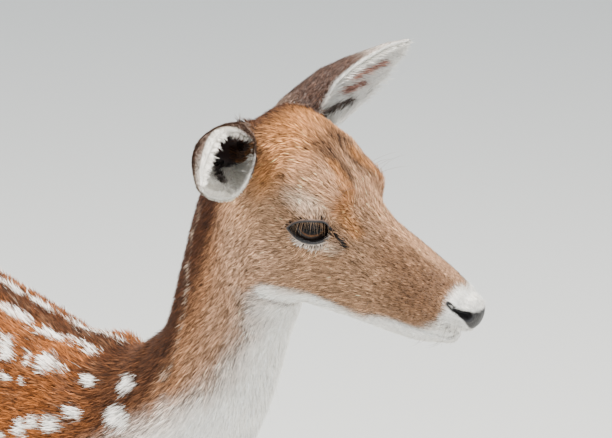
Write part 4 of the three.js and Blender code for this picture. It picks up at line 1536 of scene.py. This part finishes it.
def whisker_strands():
    """Feelers over the eyes, on the muzzle and chin, from both sides of the face."""
    groups = [  # centre, spread, direction, sag, count, length
        ((126, 14, -48), (9, 3, 6), (0.3, 0.95, -0.2), (0, 0, -0.2), 7, 17),
        ((104, 8, -74), (24, 5, 2), (-0.3, 0.3, -0.8), (-0.3, 0, 0.2), 6, 12),
        ((2, 34, 26), (6, 4, 5), (0.45, 0.35, 0.8), (0.15, 0.1, -0.2), 5, 34),
        ((60, 24, -60), (16, 3, 6), (0.2, 0.7, -0.6), (-0.3, 0, -0.1), 4, 22),
    ]
    strands = []
    for hand in SIDES.values():
        mirror = np.array([1, hand, 1])
        for centre, spread, direction, sag, count, length in groups:
            for _ in range(count):
                place = (np.array(centre) + random.uniform(-1, 1, 3) * spread) * mirror
                start = on_skin(place[None])[0]
                way = (unit(direction) + random.normal(0, 0.16, 3)) * mirror @ HEAD_AXES
                curve = (np.array(sag) + random.normal(0, 0.06, 3)) * mirror @ HEAD_AXES
                strands.append((start, way, curve, length * random.uniform(0.7, 1.25), WHISKER_THICKNESS))
    return strands


def lash_strands():
    """Lashes that start along the upper lid's edge and hang out over the eye."""
    strands = []
    for hand in SIDES.values():
        mirror = np.array([1, hand, 1])
        for forward in np.linspace(-15, 16.5, LASHES) + random.uniform(-0.5, 0.5, LASHES):
            up = upper_lid(forward) + 0.5
            reach = EYE["radius"] + LID_THICKNESS
            out = np.sqrt(max(reach**2 - forward**2 - up**2, 30))
            place = eye_middle(1) + forward * LID_FORWARD + up * LID_UP + out * LID_OUT
            way = 0.85 * LID_OUT - 0.75 * LID_UP + 0.02 * forward * LID_FORWARD
            way = way + random.normal(0, 0.1, 3)
            length = random.uniform(5, 9)
            strands.append((from_head(place * mirror), (way * mirror) @ HEAD_AXES,
                            ((0.1 * LID_OUT - 0.45 * LID_UP) * mirror) @ HEAD_AXES, length,
                            LASH_THICKNESS))
    return strands


def stray_strands(triangles):
    """Odd long hairs that stand off the withers, the nape and the throat."""
    strands = []
    middles = triangles["places"].mean(axis=1)
    x, _, z = middles.T
    withers = (triangles["kinds"] == "trunk") & (z > 765) & (x > -60)
    throat = (triangles["kinds"] == "neck") & (NECK.along_and_around(middles)[1] ** 2 > 5.5)
    patches = ((withers, WITHERS_HAIRS, 24, 0.5), (throat, THROAT_HAIRS, 22, 0.55))
    for chosen, count, length, rise_up in patches:
        roots, normals = scatter_roots(triangles, chosen, np.ones(chosen.sum()), count)
        lie = lie_of_coat(roots, normals, "trunk")
        for root, normal, along in zip(roots, normals, lie):
            way = along + normal * rise_up * random.uniform(0.6, 1.4)
            curve = along * 0.2 - normal * 0.1
            strands.append((root, way, curve, length * random.uniform(0.7, 1.3), WHISKER_THICKNESS))
    return strands


# ------------------------------------------------------------------ eyes and hooves


def build_eye(name, hand):
    """A wet eyeball with a raised cornea, its places on the iris kept for the shader."""
    deselect()
    bpy.ops.mesh.primitive_uv_sphere_add(segments=72, ring_count=48, radius=1)
    eye = bpy.context.object
    eye.name = eye.data.name = f"eyeball_{name}"
    gaze = unit(LID_OUT + 0.12 * LID_FORWARD + 0.2 * LID_UP)
    level = unit(LID_FORWARD - gaze * (LID_FORWARD @ gaze))
    above = unit(LID_UP - gaze * (LID_UP @ gaze) - level * (LID_UP @ level))
    mirror = np.array([1, hand, 1])
    local = get_points(eye.data)
    across, high, ahead = local[:, 0], local[:, 1], local[:, 2]
    bulge = 1 + CORNEA_BULGE * rise(ahead, 0.72, 1)
    ball_points = (across[:, None] * level + high[:, None] * above + ahead[:, None] * gaze) * mirror
    outside = eye_middle(hand) + ball_points * (EYE["radius"] * bulge)[:, None]
    move_to(eye, from_head(outside))
    layer = eye.data.attributes.new("Iris", "FLOAT_VECTOR", "POINT")
    layer.data.foreach_set("vector", local.astype(np.float32).ravel())
    face_outwards(eye)
    bpy.ops.object.shade_smooth()
    return eye


def build_hoof(solid):
    """One claw, its solid's edges rounded over."""
    claw = merged_copy([solid], f"horn_{solid}")
    face_outwards(claw)
    rounding = claw.modifiers.new("rounded edges", "BEVEL")
    rounding.width = HOOF_ROUNDING * MM
    rounding.segments = 3
    rounding.limit_method = "ANGLE"
    rounding.angle_limit = np.radians(30)
    apply_modifiers(claw)
    bpy.ops.object.shade_smooth_by_angle(angle=np.radians(35))
    return claw


# ------------------------------------------------------------------ finishes


def node(tree, kind, inputs=(), **settings):
    """Adds a shader node. Each input is a fixed value or the output of another node."""
    added = tree.nodes.new(f"ShaderNode{kind}")
    for name, value in settings.items():
        setattr(added, name, value)
    for name, value in dict(inputs).items():
        if isinstance(value, bpy.types.NodeSocket):
            tree.links.new(value, added.inputs[name])
        else:
            added.inputs[name].default_value = value
    return added


def worked_out(tree, operation, *terms):
    return node(tree, "Math", enumerate(terms), operation=operation).outputs[0]


def attribute(tree, name):
    return node(tree, "Attribute", attribute_name=name)


def object_places(tree):
    return node(tree, "TexCoord").outputs["Object"]


def times(tree, first, second):
    both = {"Factor": 1, "A": first, "B": second}
    return node(tree, "Mix", both, data_type="RGBA", blend_type="MULTIPLY").outputs["Result"]


def laid_over(tree, mask, below, shade):
    """A colour with another laid over it where a mask is 1."""
    both = {"Factor": mask, "A": below, "B": (*shade, 1)}
    return node(tree, "Mix", both, data_type="RGBA").outputs["Result"]


def shade_ramp(tree, value, first, last, first_at=0, last_at=1):
    ramp = node(tree, "ValToRGB", {"Fac": value})
    for stop, shade, place in zip(ramp.color_ramp.elements, (first, last), (first_at, last_at)):
        stop.color = (*shade, 1)
        stop.position = place
    return ramp.outputs["Color"]


def bump(tree, height, strength, distance):
    given = {"Strength": strength, "Distance": distance, "Height": height}
    return node(tree, "Bump", given).outputs["Normal"]


def new_material(name, roughness=None):
    material = bpy.data.materials.new(name)
    material.use_nodes = True
    tree = material.node_tree
    shader = tree.nodes["Principled BSDF"]
    if roughness is not None:
        shader.inputs["Roughness"].default_value = roughness
    return material, tree, shader


def hair_grain_group():
    """Fine streaks along the coat: a shade to multiply a colour by, and a height."""
    group = bpy.data.node_groups.new("hair grain", "ShaderNodeTree")
    face = group.interface
    face.new_socket("Size", in_out="INPUT", socket_type="NodeSocketFloat")
    face.new_socket("Strength", in_out="INPUT", socket_type="NodeSocketFloat")
    face.new_socket("Shade", in_out="OUTPUT", socket_type="NodeSocketColor")
    face.new_socket("Height", in_out="OUTPUT", socket_type="NodeSocketFloat")
    given, out = group.nodes.new("NodeGroupInput"), group.nodes.new("NodeGroupOutput")
    where = object_places(group)
    fine = {"Vector": where, "Scale": given.outputs["Size"], "Detail": 4}
    fine = node(group, "TexNoise", fine).outputs["Fac"]
    broad = node(group, "TexNoise", {"Vector": where, "Scale": 24, "Detail": 2}).outputs["Fac"]
    both = worked_out(group, "MULTIPLY_ADD", broad, 0.6, fine)
    spread = node(group, "MapRange", {
        "Value": both,
        "From Min": 0.55,
        "From Max": 1.05,
        "To Min": worked_out(group, "SUBTRACT", 1, given.outputs["Strength"]),
        "To Max": worked_out(group, "ADD", 1, given.outputs["Strength"]),
    }).outputs["Result"]
    shade = node(group, "CombineColor", {"Red": spread, "Green": spread, "Blue": spread})
    group.links.new(shade.outputs["Color"], out.inputs["Shade"])
    group.links.new(fine, out.inputs["Height"])
    return group


def streaked_marks(tree, grain, size, strength):
    """The markings with the hair's grain over them, and the grain's height."""
    streaks = node(tree, "Group", {"Size": size, "Strength": strength}, node_tree=grain)
    marks = attribute(tree, "Coat").outputs["Color"]
    return times(tree, marks, streaks.outputs["Shade"]), streaks.outputs["Height"]


def coat_material(grain):
    """Hair: the markings, streaked, with hardly any gloss."""
    material, tree, shader = new_material("coat hair", roughness=0.58)
    colour, _ = streaked_marks(tree, grain, 420, 0.14)
    tree.links.new(colour, shader.inputs["Base Color"])
    shader.inputs["Specular IOR Level"].default_value = 0.08
    return material


def skin_material(grain):
    """Hide under the coat, with bare damp skin on the nose pad, lids and lips."""
    material, tree, shader = new_material("hide")
    colour, height = streaked_marks(tree, grain, 900, 0.2)
    tree.links.new(colour, shader.inputs["Base Color"])
    bare = attribute(tree, "Bare").outputs["Fac"]
    damp = node(tree, "MapRange", {"Value": bare, "To Min": 0.75, "To Max": 0.42})
    tree.links.new(damp.outputs["Result"], shader.inputs["Roughness"])
    pebbles = node(tree, "TexVoronoi", {"Vector": object_places(tree), "Scale": 850})
    choose = node(tree, "Mix", {"Factor": bare, "A": height, "B": pebbles.outputs["Distance"]})
    normal = bump(tree, choose.outputs["Result"], 0.5, 0.0006)
    tree.links.new(normal, shader.inputs["Normal"])
    return material


def eye_material():
    """Dark brown iris round a wide level pupil, under a wet clear cornea."""
    material, tree, shader = new_material("wet eye", roughness=0.08)
    iris = attribute(tree, "Iris").outputs["Vector"]
    split = node(tree, "SeparateXYZ", {"Vector": iris})

    def ring(width, height):
        """1 on the edge of an oval round the middle of the iris."""
        oval = {
            "X": worked_out(tree, "DIVIDE", split.outputs["X"], width),
            "Y": worked_out(tree, "DIVIDE", split.outputs["Y"], height),
        }
        stretched = node(tree, "CombineXYZ", oval).outputs[0]
        return node(tree, "VectorMath", {0: stretched}, operation="LENGTH").outputs["Value"]

    def darken(colour, where, low, high, shade):
        limits = {"From Min": low, "From Max": high, "Value": where}
        edge = node(tree, "MapRange", limits, interpolation_type="SMOOTHSTEP")
        return laid_over(tree, edge.outputs["Result"], colour, shade)

    spokes = node(tree, "TexNoise", {"Vector": iris, "Scale": 9, "Detail": 5}).outputs["Fac"]
    colour = shade_ramp(tree, spokes, linear(46, 29, 18), linear(98, 62, 34), 0.35, 0.7)
    colour = darken(colour, ring(0.66, 0.46), 0.8, 1, linear(22, 15, 12))
    colour = darken(colour, ring(0.56, 0.3), 1.15, 0.9, linear(10, 8, 9))
    tree.links.new(colour, shader.inputs["Base Color"])
    shader.inputs["IOR"].default_value = 1.34
    shader.inputs["Coat Weight"].default_value = 0.06
    shader.inputs["Specular IOR Level"].default_value = 0.14
    shader.inputs["Coat Roughness"].default_value = 0.02
    return material


def hoof_material():
    """Dark horn with growth rings round it and a scuffed lower edge."""
    material, tree, shader = new_material("hoof horn", roughness=0.42)
    where = object_places(tree)
    rings = {"Vector": where, "Scale": 95, "Distortion": 3, "Detail": 3, "Detail Scale": 2}
    rings = node(tree, "TexWave", rings, bands_direction="Z").outputs["Fac"]
    horn = shade_ramp(tree, rings, linear(36, 30, 27), linear(74, 62, 53))
    height = node(tree, "SeparateXYZ", {"Vector": where}).outputs["Z"]
    scuff = node(tree, "MapRange", {"From Min": SCUFF_HEIGHT * MM, "From Max": 0, "Value": height})
    grime = node(tree, "TexNoise", {"Vector": where, "Scale": 160}).outputs["Fac"]
    worn = worked_out(tree, "MULTIPLY", scuff.outputs["Result"], grime)
    colour = laid_over(tree, worn, horn, linear(138, 122, 102))
    tree.links.new(colour, shader.inputs["Base Color"])
    tree.links.new(bump(tree, rings, 0.35, 0.0005), shader.inputs["Normal"])
    return material


def finish_piece(piece, material):
    piece.data.materials.clear()
    piece.data.materials.append(material)
    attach(piece, "root")


# ------------------------------------------------------------------ floor, light, camera

FLOOR_SIZE = 30  # metres
LAMPS = {  # place from the head in metres, size, power, colour
    "key": ((-0.9, -1.5, 2.4), 0.9, 310, (1, 0.95, 0.88)),
    "fill": ((1.9, -1.6, 0.5), 2.2, 42, (0.95, 0.98, 1)),
    "rim": ((0.6, 2.0, 1.9), 1.0, 150, (1, 0.97, 0.92)),
}
SKY_COLOUR, SKY_STRENGTH = (0.86, 0.93, 1, 1), 1.05
VIEW_TURN = np.radians(54)  # the line of sight, from the doe's left axis
VIEW_DROP = np.radians(18.5)
VIEW_DISTANCE = 2200
LENS, SENSOR_WIDTH = 152.2, 36
FOCUS_PIXELS = 2588  # the lens's length, in pixels of the view
AIM_ACROSS, AIM_UP = 38.8, 11.4  # how far the view's middle lies from the eyes, in pixels


def build_stage():
    """A pale floor, a soft sky, and lamps that face the head."""
    deselect()
    bpy.ops.mesh.primitive_plane_add(size=FLOOR_SIZE)
    floor = bpy.context.object
    floor.name = "floor"
    material, _, shader = new_material("pale floor", roughness=0.9)
    shader.inputs["Base Color"].default_value = (*linear(214, 214, 210), 1)
    floor.data.materials.append(material)
    world = bpy.data.worlds.new("studio")
    bpy.context.scene.world = world
    world.use_nodes = True
    sky = world.node_tree.nodes["Background"]
    sky.inputs["Color"].default_value = SKY_COLOUR
    sky.inputs["Strength"].default_value = SKY_STRENGTH
    target = Vector(to_frame(EYES_AT))
    for name, (place, size, power, colour) in LAMPS.items():
        lamp = bpy.data.lights.new(name, "AREA")
        lamp.size = size
        lamp.energy = power
        lamp.color = colour
        holder = new_object(name, lamp)
        holder.location = target + Vector(place)
        holder.rotation_euler = (target - holder.location).to_track_quat("-Z", "Y").to_euler()


def build_camera():
    across = np.array([np.cos(VIEW_TURN), np.sin(VIEW_TURN), 0])
    level = np.array([-np.sin(VIEW_TURN), np.cos(VIEW_TURN), 0])
    sight = level * np.cos(VIEW_DROP) - np.array([0, 0, np.sin(VIEW_DROP)])
    up = np.cross(across, sight)
    ahead = unit(sight - across * AIM_ACROSS / FOCUS_PIXELS - up * AIM_UP / FOCUS_PIXELS)
    right = unit(np.cross(ahead, (0, 0, 1)))
    above = np.cross(right, ahead)
    camera = bpy.data.cameras.new("camera")
    camera.lens = LENS
    camera.sensor_width = SENSOR_WIDTH
    holder = new_object("camera", camera)
    turned = Matrix(np.stack([right, above, -ahead], axis=1)).to_4x4()
    holder.matrix_world = Matrix.Translation(to_frame(EYES_AT - sight * VIEW_DISTANCE)) @ turned
    bpy.context.scene.camera = holder


# ------------------------------------------------------------------ the doe put together

build_camera()
build_stage()
grain = hair_grain_group()
hide = skin_material(grain)
hair = coat_material(grain)

skin = build_skin()
paint_skin(skin)
finish_piece(skin, hide)
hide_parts(*FLESH)

for piece, slot in build_coat(skin):
    finish_piece(piece, hair)

long_hairs = [
    ("whiskers", whisker_strands(), linear(110, 94, 82), "face_coat"),
    ("eyelashes", lash_strands(), linear(150, 124, 100), "face_coat"),
    ("stray_hairs", stray_strands(skin_triangles(skin)), linear(226, 214, 196), "body_coat"),
]
for name, strands, colour, slot in long_hairs:
    finish_piece(hair_strands(name, strands, colour), hair)

wet = eye_material()
for name, hand in SIDES.items():
    eye = build_eye(name, hand)
    finish_piece(eye, wet)
    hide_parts(f"eye_{name}")

horn = hoof_material()
for solid in sorted(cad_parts):
    if "hoof" in solid or "dewclaw" in solid:
        claw = build_hoof(solid)
        finish_piece(claw, horn)
        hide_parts(solid)
